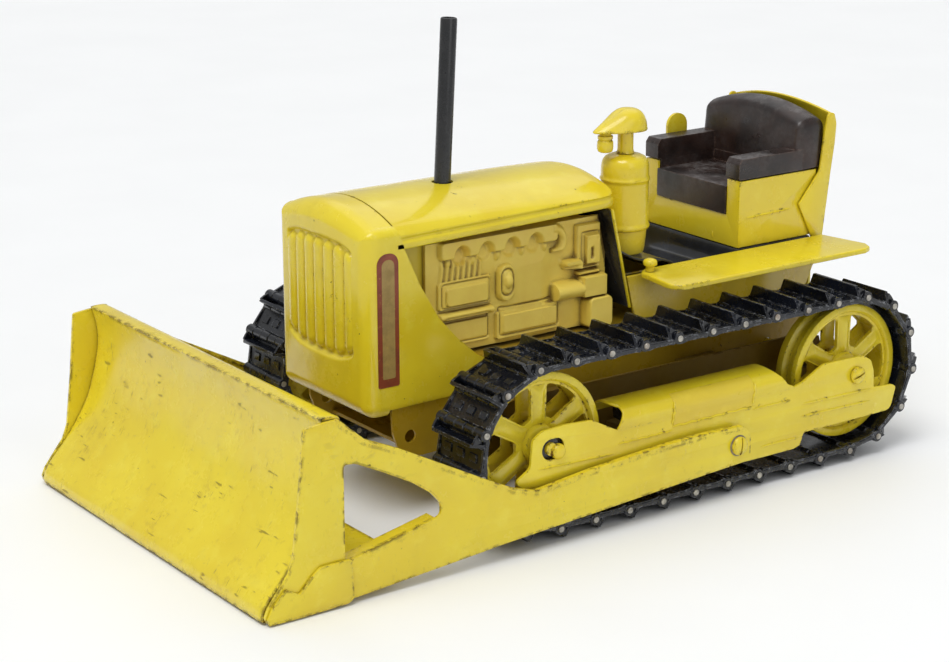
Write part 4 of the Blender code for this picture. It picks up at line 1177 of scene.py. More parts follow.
def wheel(name, y):
    # outer disc: six ridged spokes and six windows between
    NA, NR = 252, 40
    r_in, r_out = 6.4, 29.6
    rings = []

    def spoke(a):
        """0 on a spoke's centre line to 1 midway between two."""
        u = (a - math.radians(30)) % math.radians(60)
        return abs(u - math.radians(30)) / math.radians(30)

    disc = prism("d", circ(0, 0, 29.9, 96), "yz", 89.0, 91.0)
    wins = []
    for k in range(6):
        a = math.radians(60 * k)
        ho, hi = math.radians(20.8), math.radians(11.0)
        pts = []
        for t in np.linspace(-1, 1, 7):
            pts.append((27.9 * math.cos(a + ho * t), 27.9 * math.sin(a + ho * t), 0 if abs(t) < 0.99 else 3.6))
        for t in np.linspace(1, -1, 3):
            pts.append((12.6 * math.cos(a + hi * t), 12.6 * math.sin(a + hi * t), 0 if abs(t) < 0.99 else 2.0))
        wins.append(pts)
    big = [prism("w", fil(w, 5), "yz", 86.0, 95.0) for w in wins]
    disc = cut(disc, *big)
    disc = soften(disc, 0.9, 4, 50)
    back = prism("d2", circ(0, 0, 29.4, 96), "yz", 78.9, 80.1)
    back = soften(cut(back, *[prism("w", fil(w, 5), "yz", 77.0, 82.0) for w in wins]), 0.35, 2, 50)
    parts = [disc, back]
    # rounded ridge down each spoke
    for k in range(6):
        a = math.radians(60 * k + 30)
        rows = []
        for t in np.linspace(0, 1, 12):
            r = 9.0 + 18.6 * t
            w = 3.75 + 0.35 * t + 2.0 * max(0.0, t - 0.82) / 0.18 + 1.6 * max(0.0, 0.15 - t) / 0.15
            hgt = 1.75 * (1 - (2 * t - 1) ** 8 * 0.75)
            row = []
            for u in np.linspace(-1, 1, 15):
                x = 90.75 - 0.5 * (abs(u) > 0.99) + hgt * math.cos(u * math.pi / 2) ** 1.2
                ca, sa = math.cos(a), math.sin(a)
                row.append((x, r * ca - u * w * sa, r * sa + u * w * ca))
            rows.append(row)
        parts.append(grid("rg", rows))
    # rims and hub
    parts.append(turned("rim", [(28.9, 88.8), (28.9, 90.6), (29.5, 92.2), (30.3, 93.0), (32.6, 93.0), (33.5, 92.6), (33.6, 91.6),
                                (33.5, 89.8), (32.6, 88.8), (30.9, 88.2), (30.8, 84.4), (32.6, 83.6), (33.5, 82.8), (33.6, 79.6),
                                (33.0, 78.6), (30.0, 78.2), (28.6, 78.6), (28.4, 80.0), (28.6, 84.0), (28.9, 88.8)], (0, 0, 0), "x", 96))
    parts.append(turned("hub", [(3.35, 77.2), (3.35, 93.6), (7.2, 93.6), (8.4, 93.0), (9.2, 91.4), (9.6, 90.2), (9.2, 89.6), (7.6, 87.0),
                                (7.4, 77.6), (7.0, 77.2), (3.35, 77.2)], (0, 0, 0), "x", 48))
    w = merge(name, parts)
    w.data.transform(Matrix.Translation((0, y * MM, AXLE_Z * MM)))
    return weld(w, 1e-7)


for base, y, bd, seed in (("drive_wheel", REAR_Y, "drive_{s}", 0), ("idler_wheel", FRONT_Y, "idler_{s}", 1)):
    pair(wheel(base, y), base + "_spoked", "yel_wheel", bd, base + "_{s}", angle=35)

# =====================================================================================
# track frame cover: flat plate with a rolled guard between the wheels
# =====================================================================================
CX = 101.0
plate_pts = [(-51.3, 43.5, 3), (-50.6, 51.0, 3), (-45.5, 54.2, 4), (-32.4, 54.9, 8), (-17.3, 54.0, 5), (-2.8, 46.4, 1.0),
             (50.0, 45.6), (106.6, 46.2, 1.0), (112.3, 47.7, 3), (125.5, 54.2, 4), (151.8, 53.8, 4), (157.4, 50.6, 3), (159.6, 45.0, 3),
             (160.1, 36.0, 1.2), (173.0, 35.1, 2.5), (175.7, 33.6, 1.6), (172.4, 22.1, 4.5), (154.6, 21.9), (113.6, 21.7, 2),
             (111.7, 15.8, 2), (107.5, 14.6, 2), (85.7, 14.5), (60.0, 14.8), (40.0, 18.0), (0.0, 23.0), (-30.0, 27.0), (-56.0, 29.6, 2.0), (-60.5, 33.0, 2.0),
             (-51.6, 38.2, 4)]
slot_pts = [(FRONT_Y - 0.6 + 4.9 * math.cos(math.radians(a)), AXLE_Z + 0.0 + 4.9 * math.sin(math.radians(a))) for a in range(90, 271, 12)] + \
           [(FRONT_Y + 2.6 + 4.4 * math.cos(math.radians(a)), AXLE_Z + 0.0 + 4.9 * math.sin(math.radians(a))) for a in range(-90, 91, 12)]
cover = prism("cover", fil(plate_pts, 5), "yz", CX - 1.4, CX, holes=[slot_pts, circ(REAR_Y, AXLE_Z, 3.2), circ(PIV[0], PIV[1], 2.85)])
cover = soften(cover, 0.5, 3, 40)
parts = [cover]

# rolled guard: lofted section along Y, rounded over at its open front end
sec_o = curve([(101.0, 41.5), (101.0, 45.0), (101.75, 48.0), (101.9, 51.0), (100.6, 53.9), (97.7, 56.0), (92.8, 57.3), (86.9, 57.0),
               (82.6, 54.6), (80.3, 50.4)], 6)
front_e = [(42, -2.0), (46.4, -2.5), (51.5, -0.4), (54.0, 0.8), (56.2, 1.0), (56.9, -0.8), (58.8, -5.5)]
rear_e = [(42, 106.8), (46.2, 106.6), (48.6, 101.6), (53.1, 97.9), (57.6, 92.7), (58.8, 88.0)]


def along(tab, z):
    for (z0, a), (z1, b) in zip(tab, tab[1:]):
        if z <= z1:
            return a + (b - a) * max(0.0, (z - z0)) / (z1 - z0)
    return tab[-1][1]


def guard_rows(n=72):
    rows = []
    for i in range(n + 1):
        t = i / n
        row = []
        for k, (x, z) in enumerate(sec_o):
            inner_side = x < 92.8 and k > len(sec_o) * 0.55
            zf = z
            y0 = along(front_e, 57.4 if inner_side else zf)
            y1 = along(rear_e, 57.4 if inner_side else zf)
            y = y0 + (y1 - y0) * t
            # the flat mid panel stands slightly proud of the glossy ends
            row.append((x, y, z))
        rows.append(row)
    return rows


g = grid("guard", guard_rows())
g = solidify(g, 1.3, 1) if False else g
bm = bmesh.new()
bm.from_mesh(g.data)
bmesh.ops.recalc_face_normals(bm, faces=bm.faces)
f = max(bm.faces, key=lambda q: q.calc_center_median().z)
if f.normal.z < 0:
    bmesh.ops.reverse_faces(bm, faces=bm.faces)
bm.to_mesh(g.data)
bm.free()
g = solidify(g, 1.3, -1)
g = soften(g, 0.45, 3, 50)
parts.append(g)


def bead(name, pts, r, n=8, taper=True):
    """A rounded weld bead or rib along a line of points."""
    P = [Vector(p) for p in pts]
    verts, faces = [], []
    m = len(P)
    up = Vector((1, 0, 0))
    rr = []
    for i, p in enumerate(P):
        d = (P[min(i + 1, m - 1)] - P[max(i - 1, 0)]).normalized()
        u = up - d * up.dot(d)
        if u.length < 1e-4:
            u = Vector((0, 0, 1)) - d * d.z
        u.normalize()
        v = d.cross(u)
        e = min(i, m - 1 - i)
        q = r * (0.35 if (taper and e == 0) else (0.8 if (taper and e == 1) else 1.0))
        rr.append((p, u, v, q))
    for p, u, v, q in rr:
        for k in range(n):
            a = 2 * math.pi * k / n
            verts.append(tuple(p + u * q * math.cos(a) + v * q * math.sin(a)))
    for i in range(m - 1):
        for k in range(n):
            j = (k + 1) % n
            faces.append((i * n + k, i * n + j, (i + 1) * n + j, (i + 1) * n + k))
    faces.append(tuple(range(n))[::-1])
    faces.append(tuple((m - 1) * n + k for k in range(n)))
    return weld(new_mesh(name, verts, faces), 1e-8)


def on_guard(z):
    """X of the guard's outer skin at height z."""
    best = None
    for (x0, z0), (x1, z1) in zip(sec_o, sec_o[1:]):
        if min(z0, z1) <= z <= max(z0, z1) and x0 > 92:
            x = x0 + (x1 - x0) * ((z - z0) / (z1 - z0) if z1 != z0 else 0)
            best = x if best is None else max(best, x)
    return best or 101.0


# mid panel: a separate sheet wrapped on the guard, bounded by weld beads
pan_sec = [(x + 0.28, z + (0.12 if z > 52 else 0)) for x, z in sec_o if 43.0 <= z and x > 97.0]
pan_sec = [(101.25, 41.9)] + pan_sec
rows = []
for t in np.linspace(0, 1, 30):
    rows.append([(x, 30.5 + (79.5 - 30.5) * t + 0.25 * math.sin(z * 0.9 + t * 6), z) for x, z in pan_sec])
pg = grid("panel", rows)
bm = bmesh.new()
bm.from_mesh(pg.data)
bmesh.ops.recalc_face_normals(bm, faces=bm.faces)
f = max(bm.faces, key=lambda q: q.calc_center_median().x)
if f.normal.x < 0:
    bmesh.ops.reverse_faces(bm, faces=bm.faces)
bm.to_mesh(pg.data)
bm.free()
pg = soften(solidify(pg, 0.5, -1), 0.2, 2, 50)
beads = []
for yb in (30.2, 79.8):
    beads.append(bead("b", [(on_guard(z) + 0.15, yb + 0.3 * math.sin(z * 1.7), z) for z in np.linspace(42.5, 53.6, 16)], 0.65))
beads.append(bead("b", [(101.1, y, 41.6 + 0.25 * math.sin(y * 0.8)) for y in np.linspace(30, 80, 44)], 0.6))
beads.append(bead("b", [(101.05, y, 39.6 + 0.2 * math.sin(y * 1.1 + 1)) for y in np.linspace(-2, 30, 26)], 0.5))
beads.append(bead("b", [(101.05, y, 40.2 + 0.2 * math.sin(y * 1.3)) for y in np.linspace(80, 104, 20)], 0.55))
# embossed step lines on the rear part of the plate
for z0 in (36.6, 30.3, 20.6):
    y0, y1 = (112.0, 158.0) if z0 > 25 else (86.0, 153.0)
    if z0 == 20.6:
        beads.append(bead("b", [(100.95, y, 20.0) for y in np.linspace(y0, 110.5, 12)], 0.55))
    else:
        beads.append(bead("b", [(100.95, y, z0 - 0.02 * (y - 112)) for y in np.linspace(y0, y1, 16)], 0.6))
beads.append(bead("b", [(100.95, y, 36.9 - 1.4 * (y + 48) / 44) for y in np.linspace(-48.0, -4.0, 16)], 0.5))
cov = merge("cover", parts + beads)
pair(cov, "track_cover_rolled", "yel_frame", BODY, "track_frame_cover_{s}", angle=40)
pair(pg, "guard_panel", "yel_dull", BODY, angle=40)
# dark bulkhead inside the guard: painted shade in its open end
inner = [(x - 1.7 if x > 92 else x + 1.4, z - (1.8 if z > 50 else 0.0)) for x, z in sec_o if z > 44.0]
bulk = prism("bulk", [(x, z) for x, z in inner] + [(82.4, 45.0), (99.0, 44.2)], "xz", 10.0, 10.8)
pair(bulk, "guard_shade_bulkhead", "stack", BODY, angle=50)

# inner frames stay as they are in the frame: plates, stays and blocks; the inner track frame and the hull sides get the
# darkened yellows, painted shade
for s in ("left", "right"):
    for nm in ("track_frame_inner_", "chassis_side_"):
        o = N[nm + s]
        o.data.materials.clear()
        o.data.materials.append(M["yel_inner_shaded" if "track" in nm else "yel_hull_shaded"])
    for nm in ("rear_hub_spacer_", "front_hub_spacer_", "pivot_bush_"):
        o = N[nm + s]
        o.data.materials.clear()
        o.data.materials.append(M["dark_steel"])
# deck and hull floor: the darkened yellow, painted shade
for nm in ("chassis_deck", "chassis_floor"):
    N[nm].data.materials.clear()
    N[nm].data.materials.append(M["yel_hull_shaded"])
N["engine_block"].data.materials.clear()
N["engine_block"].data.materials.append(M["engine"])

# =====================================================================================
# axles and bolts
# =====================================================================================


def head(name, x, at, r, h, slot_w, mat, ang, neck=0.0, extra=()):
    """Domed, slotted bolt head on the +X side."""
    prof = [(0, x - 3.0), (r * 0.6, x - 3.0), (r * 0.6, x), (r * 0.98, x), (r, x + 0.25), (r, x + 0.42 * h)]
    for k in range(1, 8):
        a = math.radians(90 * k / 8)
        prof.append((r * math.cos(a) ** 0.85, x + 0.42 * h + 0.58 * h * math.sin(a)))
    prof.append((0, x + h))
    o = turned(name, prof, (0, 0, 0), "x", 48)
    if slot_w:
        c = box("c", (x + h * 0.55, -r - 1, -slot_w / 2), (x + h + 2, r + 1, slot_w / 2))
        c.data.transform(Matrix.Rotation(math.radians(ang), 4, "X"))
        o = cut(o, c)
    o.data.transform(Matrix.Translation((0, at[0] * MM, at[1] * MM)))
    return o


def axle(name, y, r, h, slot_w, node, ang, dy=0.0, dz=0.0):
    """Rod through both frames with a domed head at each end, which may sit low in its hole."""
    L = head("h", CX + 0.3 - (1.2 if dy else 0.0), (y + dy, AXLE_Z + dz), r, h + (1.2 if dy else 0.0), slot_w, None, ang)
    Rr = mirrored(L, "h2")
    rod = turned("r", [(0, -CX - 0.2), (3.0, -CX - 0.2), (3.0, CX + 0.2), (0, CX + 0.2)], (0, y, AXLE_Z), "x", 32)
    o = merge(name, [L, Rr, rod])
    done(o, "yel_small", BODY, [node], 38)


axle("rear_axle_slotted", REAR_Y, 4.3, 2.6, 1.0, "rear_axle", 18)
axle("front_axle_domed", FRONT_Y, 3.6, 2.2, 0.0, "front_axle", 0, 3.4, -1.5)
pb = head("pb", 106.5, PIV, 4.5, 2.55, 0.8, None, 84)
ring = turned("ring", [(3.0, 106.2), (5.15, 106.2), (5.15, 106.45), (4.9, 106.6), (3.0, 106.6), (3.0, 106.2)], (0, *PIV), "x", 40)
shank = turned("sh", [(0, 96.2), (2.45, 96.2), (2.45, 106.4), (0, 106.4)], (0, *PIV), "x", 24)
# dark plate behind the front axle's adjusting slot: painted shade inside the slot
npz = turned("np", [(0, 96.6), (5.6, 96.6), (6.4, 97.2), (6.4, 98.9), (5.8, 99.3), (0, 99.3)], (0, FRONT_Y + 1.2, AXLE_Z), "x", 40)
pair(npz, "adjuster_shade_plate", "stack", BODY, None)
pair(merge("pivot", [pb]), "pivot_bolt_slotted", "yel_small", BODY, "pivot_bolt_{s}", angle=38)
pair(merge("pw", [ring, shank]), "pivot_washer", "dark_steel", BODY, None, 38)

# =====================================================================================
# blade and push arms
# =====================================================================================
arm_outline = [(-171.3, 81.8, 1.5), (-160.6, 82.9, 3), (-154.6, 83.0, 1.0), (-141.8, 71.8, 5), (-124.3, 64.0, 8), (-79.7, 40.7, 8),
               (-64.0, 33.0, 10), (-52.0, 29.4, 10), (-21.5, 32.7, 14), (18.6, 35.2, 30), (42.7, 36.0, 20), (70.0, 35.3, 5),
               (74.6, 30.0, 5), (74.5, 17.4, 1.5), (37.3, 15.2), (-72.2, 8.2), (-87.3, 6.9), (-134.1, 3.3), (-149.2, 2.2),
               (-190.4, 0.9, 0.8), (-191.9, 3.6, 1.2), (-190.4, 7.4, 2), (-186.4, 12.6, 3), (-180.2, 20.4, 3), (-177.6, 27.0, 4), (-174.3, 52.0, 3)]
window = [(-152.5, 60.0), (-152.3, 62.6, 2.0), (-147.0, 62.2, 3), (-131.5, 54.6, 12), (-118.8, 47.8, 12), (-109.0, 41.0, 10),
          (-103.6, 35.0, 5), (-103.6, 29.4, 2.6), (-128.0, 24.3), (-152.5, 19.2, 1.6)]
arm = prism("arm", fil(arm_outline, 5), "yz", 104.7, 106.2, holes=[fil(window, 5), circ(PIV[0], PIV[1], 2.75)])
arm = soften(arm, 0.55, 3, 40)
top_line = fil([(-153.6, 82.1), (-141.8, 71.8, 5), (-124.3, 64.0, 8), (-79.7, 40.7, 8), (-64.0, 33.0, 10), (-52.0, 29.4, 10),
                (-21.5, 32.7, 14), (-5.0, 33.7)], 5)
# drop the closing point order problem: take it as an open line
top_line = [p for p in top_line]


def fold(line, x_in, depth=1.25, x_out=106.05, r=0.9):
    """Flange folded inwards along a line, with a rounded outer corner, following the sheet's edge."""
    sec = [(x_in, -0.05), (x_out - r, -0.05)]
    for k in range(1, 5):
        a = math.radians(90 * k / 5)
        sec.append((x_out - r + r * math.sin(a), -0.05 - r + r * math.cos(a)))
    sec += [(x_out, -0.05 - r), (x_out, -depth - 0.6), (x_out - 1.0, -depth - 0.6), (x_out - 1.3, -depth), (x_in, -depth), (x_in - 0.12, -depth / 2)]
    P = [Vector((0, a, b)) for a, b in line]
    verts, faces = [], []
    n = len(sec)
    for i, p in enumerate(P):
        d = (P[min(i + 1, len(P) - 1)] - P[max(i - 1, 0)]).normalized()
        nrm = Vector((0, -d.z, d.y))
        if nrm.z < 0:
            nrm = -nrm
        for x, h in sec:
            verts.append((x, (p + nrm * h).y, (p + nrm * h).z))
    for i in range(len(P) - 1):
        for k in range(n):
            j = (k + 1) % n
            faces.append((i * n + k, i * n + j, (i + 1) * n + j, (i + 1) * n + k))
    faces.append(tuple(range(n)))
    faces.append(tuple((len(P) - 1) * n + k for k in range(n))[::-1])
    return weld(new_mesh("fold", verts, faces), 1e-8)


f1 = fold(top_line, 103.6)
rear_line = curve([(-8.0, 33.5), (18.6, 35.2), (42.7, 36.0), (69.2, 35.3)], 8)
f2 = fold(rear_line, 103.2)
f3 = fold(curve([(-151.4, 19.6), (-146.5, 20.4), (-106.0, 28.7)], 8), 98.3, 1.3, 105.4, 0.8)
arm = merge("arm", [arm, f1, f2, f3])
pair(arm, "push_arm_folded", "yel_arm", "blade", "push_arm_{s}", angle=42)

face = curve([(-162.6, 84.1), (-161.4, 80.4), (-160.2, 75.1), (-159.8, 68.7), (-160.7, 61.1), (-163.5, 50.2), (-167.4, 39.5), (-173.6, 29.2),
              (-180.0, 20.5), (-187.0, 12.6), (-191.0, 7.6), (-192.3, 4.0), (-192.1, 1.2)], 5)
topf = [(-153.7, 81.2), (-153.2, 82.6), (-154.2, 83.9), (-156.2, 84.35), (-158.8, 84.4), (-161.2, 84.35)]
line = topf + face
rows = []
BX = 104.3
xs = np.linspace(-BX, BX, 110)
for x in xs:
    row = []
    e = max(0.0, (abs(x) - (BX - 1.6)) / 1.6)
    for k, (y, z) in enumerate(line):
        dent = 0.22 * math.sin(x * 0.047 + 0.6) * math.sin((z - 4) * 0.062) + 0.12 * math.sin(x * 0.11 + z * 0.06)
        if z > 82 or z < 3:
            dent *= 0.3
        lowlip = 0.25 * math.sin(x * 0.07) * (z < 6)
        row.append((float(x), y + dent + 0.5 * e * e, z + lowlip * 0.3))
    rows.append(row)
mb = grid("moldboard", rows)
bm = bmesh.new()
bm.from_mesh(mb.data)
bmesh.ops.recalc_face_normals(bm, faces=bm.faces)
f = min(bm.faces, key=lambda q: q.calc_center_median().y)
if f.normal.y > 0:
    bmesh.ops.reverse_faces(bm, faces=bm.faces)
bm.to_mesh(mb.data)
bm.free()
mb = soften(solidify(mb, 1.3, -1), 0.4, 3, 50)
done(mb, "yel_blade", "blade", ["blade_moldboard"], angle=40, name="blade_moldboard_curved")
br = prism("brace", fil([(-97.4, -180.6, 2), (97.4, -180.6, 2), (97.4, -124.6, 3), (-97.4, -124.6, 3)]), "xy", 15.5, 16.9, bevel=0.4)
done(br, "yel_blade", "blade", ["blade_brace"], name="blade_brace_sheet")
toe = prism("toe", fil([(-190.6, 0.7, 0.5), (-191.3, 3.4, 1.2), (-189.4, 7.4, 2), (-184.6, 12.6, 2.4), (-182.2, 15.0, 1.4), (-179.6, 13.4, 1.4), (-175.8, 11.2, 1.5), (-170.4, 17.0, 6), (-165.5, 20.9, 4),
                        (-150.0, 20.9, 1.4), (-149.1, 3.0, 2.2), (-152.0, 1.3), (-174.0, 0.6)], 5), "yz", 106.5, 107.65)
pair(soften(toe, 0.4, 2), "toe_plate_pressed", "yel_arm", "blade", "toe_plate_{s}")

# =====================================================================================
# rear body, firewall, floor, fenders
# =====================================================================================
fw = prism("fw", [(43.1, 130.2), (44.4, 130.4), (56.2, 80.0), (54.9, 79.8)], "yz", -38.2, 38.2, bevel=0.45)
done(fw, "yel", BODY, ["firewall"], name="firewall_sheet")
fi = prism("fi", [(42.75, 130.0), (43.0, 130.0), (54.7, 80.2), (54.4, 80.2)], "yz", -37.3, 37.3, bevel=0.08, seg=1)
done(fi, "black", BODY, name="firewall_front_face")
# body side under the fender: darkened yellow, painted shade from the fender
bs = prism("bs", fil([(58.4, 71.4, 0.6), (170.5, 71.4, 6), (177.0, 85.0, 6), (177.4, 95.9, 2), (53.0, 95.9, 0.6), (57.0, 79.0)]), "yz", 37.1, 38.5, bevel=0.45)
pair(bs, "body_side_sheet", "yel_side_shaded", BODY, "body_side_{s}")
brr = prism("brr", fil([(-36.6, 71.4, 2), (36.6, 71.4, 2), (36.6, 94.6, 2), (-36.6, 94.6, 2)]), "xz", 175.0, 176.4, bevel=0.45)
done(brr, "yel", BODY, ["body_rear"], name="body_rear_sheet")
fl = curve([(51.2, 108.5), (55.0, 106.2), (60.0, 103.8), (66.0, 102.0), (72.0, 101.2), (78.0, 100.4), (84.0, 97.8), (90.0, 92.4),
            (95.0, 88.4), (101.0, 86.4), (110.0, 86.0), (118.0, 86.2), (122.4, 87.6), (124.6, 91.0), (124.9, 95.0)], 5) + [(125.2, 98.1), (174.6, 98.1)]
rows = [[(float(x), y, z) for y, z in fl] for x in np.linspace(-36.6, 36.6, 20)]
flo = grid("floor", rows)
bm = bmesh.new()
bm.from_mesh(flo.data)
bmesh.ops.recalc_face_normals(bm, faces=bm.faces)
f = max(bm.faces, key=lambda q: q.calc_center_median().y if q.calc_center_median().z > 97.9 else -9)
if f.normal.z < 0:
    bmesh.ops.reverse_faces(bm, faces=bm.faces)
bm.to_mesh(flo.data)
bm.free()
flo = soften(solidify(flo, 1.1, -1), 0.25, 2, 50)
done(flo, "black", BODY, ["floor_plate"], 45, name="floor_plate_pressed")

fend = [(38.9, 62.5, 2), (42.8, 57.8, 4), (67.5, 54.4, 5), (73.8, 58.5, 6), (73.8, 178.2, 3), (71.6, 183.0, 2.5), (66.0, 185.8, 3),
        (39.0, 180.6, 2)]
fo = resample(fil(fend, 8), 6.0)
roll = [(1.35, 95.95), (0.25, 95.9), (0.0, 96.15), (0.0, 97.5)] + \
       [(1.0 * (1 - math.cos(math.radians(a))), 97.5 + 1.0 * math.sin(math.radians(a))) for a in (22, 45, 68, 90)]
under = [(1.45, 97.1), (1.35, 95.95)]
fend_o = rings("fender", fo, under + roll[1:])
pair(fend_o, "fender_rolled", "yel", BODY, "fender_{s}", angle=40)

kn = turned("k", [(0, 98.8), (2.1, 98.8), (2.1, 100.9), (2.5, 101.4), (3.3, 101.8), (3.5, 102.6), (3.4, 103.6), (2.8, 104.4), (1.6, 104.85),
                  (0, 105.0)], (0, 0, 0), "z", 36)
for k in range(14):
    pass
kn.data.transform(Matrix.Translation((44.6 * MM, 62.0 * MM, 0)))
pair(kn, "filler_knob_turned", "yel_small", BODY, "filler_knob_{s}")

# =====================================================================================
# air cleaner
# =====================================================================================
AC = (17.0, 68.0)
cup = turned("cup", [(0, 101.6), (8.6, 101.6), (9.6, 102.4), (10.2, 105.0), (10.7, 110.0), (10.9, 112.4), (10.9, 113.9), (0, 113.9)],
             (*AC, 0), "z", 64)
done(cup, "yel_dull", BODY, ["cleaner_cup"], name="cleaner_cup_turned")


def bump_ring(z, r, n=5):
    return [(r + 0.55 * math.sin(math.pi * i / n), z - 1.1 + 2.2 * i / n) for i in range(n + 1)]


prof = [(0, 114.1), (11.4, 114.1), (12.2, 114.5), (12.5, 115.2), (12.4, 116.2), (11.9, 116.9), (11.75, 117.6), (11.75, 136.8)] + \
       bump_ring(139.0, 11.8) + [(11.75, 141.4), (11.75, 144.6), (11.5, 146.6), (10.8, 148.4), (9.7, 149.7), (8.0, 150.6), (5.6, 151.2), (0, 151.5)]
can = turned("can", prof, (*AC, 0), "z", 72)
done(can, "yel_small", BODY, ["cleaner_canister"], name="cleaner_canister_turned")
nk = turned("neck", [(0, 151.6), (4.6, 151.6), (4.1, 152.4), (3.9, 153.6), (3.9, 162.4), (0, 162.4)], (*AC, 0), "z", 40)
done(nk, "yel_small", BODY, ["cleaner_neck"], name="cleaner_neck_turned")
jar = turned("jar", [(0, 153.2), (2.6, 153.2), (3.5, 153.7), (3.9, 154.8), (4.0, 156.4), (3.9, 158.2), (3.6, 158.9), (3.2, 159.3), (3.7, 159.8), (3.7, 161.2), (2.9, 161.6), (2.5, 162.9),
                     (0, 162.9)], (AC[0], 55.4, 0), "z", 40)
done(jar, "yel_small", BODY, ["cleaner_jar"], name="cleaner_jar_turned")

# cap: dome drawn out to a blunt point at the front, with a rolled rim
rows = []
NCAP = 72
CY = 69.2
for k in range(19):
    a = (k / 18) * math.pi / 2
    row = []
    for i in range(NCAP):
        th = 2 * math.pi * i / NCAP
        x, y = math.cos(th), math.sin(th)
        fr = max(0.0, -y)
        w = 9.9 * (1 - 0.40 * fr ** 1.7)
        ln = 20.4 if y < 0 else 9.2
        full = math.cos(a) ** 0.66
        cone = 0.28 * math.cos(a) + 0.72 * (1 - math.sin(a))
        sc = max(0.015, full * (1 - fr ** 1.3) + cone * fr ** 1.3)
        row.append((AC[0] + x * w * sc, CY + y * ln * sc, 164.1 + 9.3 * math.sin(a)))
    rows.append(row)
rim = rows[0]


def rim_ring(f, z):
    return [(AC[0] + (q[0] - AC[0]) * f, CY + (q[1] - CY) * f, z) for q in rim]


rows = [rim_ring(0.5, 163.2), rim_ring(0.93, 162.9), rim_ring(1.0, 162.9), rim_ring(1.025, 163.3), rim_ring(1.02, 163.8)] + rows
cap = grid("cap", rows, close=True)
bm = bmesh.new()
bm.from_mesh(cap.data)
bm.verts.ensure_lookup_table()
bmesh.ops.holes_fill(bm, edges=bm.edges, sides=0)
bmesh.ops.recalc_face_normals(bm, faces=bm.faces)
bm.to_mesh(cap.data)
bm.free()
done(cap, "yel_small", BODY, ["cleaner_cap"], angle=50, name="cleaner_cap_domed")

# =====================================================================================
# seat
# =====================================================================================
SX = 36.3
fp = prism("fp", fil([(-SX, 98.6), (SX, 98.6), (SX, 132.6, 1.0), (26.9, 132.6, 0.6), (26.9, 114.0, 0.8), (-26.9, 114.0, 0.8), (-26.9, 132.6, 0.6),
                      (-SX, 132.6, 1.0)], 4), "xz", 126.0, 127.3)
side = [(126.4, 98.7), (174.4, 98.7), (165.9, 115.9), (177.6, 129.6), (177.6, 132.4), (126.4, 132.4)]
sl = prism("sl", side, "yz", SX - 1.4, SX - 0.05)
sr = prism("sr", side, "yz", -SX + 0.05, -SX + 1.4)
sb = soften(join(fp, sl, sr), 0.45, 3, 40)
extra = [bead("b", [(SX - 0.15, y, 113.4 + 0.9 * (y - 131) / 31) for y in np.linspace(131, 161.5, 16)], 0.62),
         bead("b", [(SX - 0.15, 162.4, z) for z in np.linspace(115.0, 118.4, 5)], 0.4),
         bead("b", [(17.0, 125.95, z) for z in np.linspace(100.2, 103.6, 6)], 0.45),
         bead("b", [(-SX + 0.15, y, 113.4 + 0.9 * (y - 131) / 31) for y in np.linspace(131, 161.5, 16)], 0.62)]
sb = merge("sb", [sb] + extra)
done(sb, "yel", BODY, ["seat_base"], name="seat_base_sheet")

# back shell: a sheet bent round three sides of the back, with an arched top
def back_top(x):
    return 159.6 + 5.8 * (1 - (x / 38.0) ** 2) 


wing = fil([(175.5, 96.4), (182.2, 96.4), (186.3, 129.0, 20), (188.6, 145.0, 20), (189.3, 155.0, 6), (187.4, 161.0, 3), (183.6, 160.4, 2.4),
            (181.6, 152.0, 14), (179.0, 131.5, 6), (165.4, 115.9, 0.6)], 6)
wl = prism("wl", wing, "yz", 36.7, 37.8, bevel=0.35)
wr = prism("wr", wing, "yz", -37.8, -36.7, bevel=0.35)


def rear_y(z):
    tab = [(98.7, 182.3), (129.0, 186.2), (145.0, 188.5), (155.0, 189.1), (161.0, 187.6), (166.0, 185.2)]
    for (z0, a), (z1, b) in zip(tab, tab[1:]):
        if z <= z1:
            return a + (b - a) * (z - z0) / (z1 - z0)
    return tab[-1][1]


rows = []
for x in np.linspace(-37.6, 37.6, 48):
    zt = min(back_top(x), 165.4)
    row = []
    for t in np.linspace(0, 1, 34):
        z = 98.7 + (zt - 98.7) * t
        row.append((float(x), rear_y(z), z))
    rows.append(row)
bk = grid("bk", rows)
bm = bmesh.new()
bm.from_mesh(bk.data)
bmesh.ops.recalc_face_normals(bm, faces=bm.faces)
f = bm.faces[0] if hasattr(bm.faces, "ensure_lookup_table") and not bm.faces.ensure_lookup_table() else None
if f is not None and f.normal.y < 0:
    bmesh.ops.reverse_faces(bm, faces=bm.faces)
bm.to_mesh(bk.data)
bm.free()
bk = soften(solidify(bk, 1.3, -1), 0.4, 2, 50)
back_strips = [prism("fl", [(168.0, 98.9), (180.6, 98.9), (178.6, 112.0), (166.6, 112.0)], "yz", a, a + 0.8) for a in (35.5, -36.3)]
done(merge("back", [bk, wl, wr] + back_strips), "yel", BODY, ["seat_back_shell"], name="seat_back_shell_bent")

# upholstery: seat block, two armrests and the crowned back, moulded in one
blk = soften(prism("blk", fil([(-26.6, 114.3, 0.6), (26.6, 114.3, 0.6), (26.6, 128.6, 0.6), (-26.6, 128.6, 0.6)]), "xz", 125.4, 165.0), 2.0, 5, 40)
arms = []
for sx in (-1, 1):
    a0, a1 = sorted((sx * 26.4, sx * 36.3))
    side_o = fil([(125.4, 133.2, 0.5), (125.4, 141.0, 0.8), (127.4, 143.6, 0.8), (168.0, 143.6), (168.0, 133.2)], 5)
    if True:
        ar = prism("ar", side_o, "yz", a0, a1)
        ar = soften(ar, 1.1, 4, 25)
        arms.append(ar)
    k0, k1 = sorted((sx * 26.5, sx * 34.2))
    arms.append(box("k", (k0, 127.6, 126.5), (k1, 166.0, 133.6), 0.3))
# crowned back cushion with a rolled edge
rows = []


def cush_top(x):
    return 158.4 + 6.9 * (1 - (x / 36.6) ** 2)


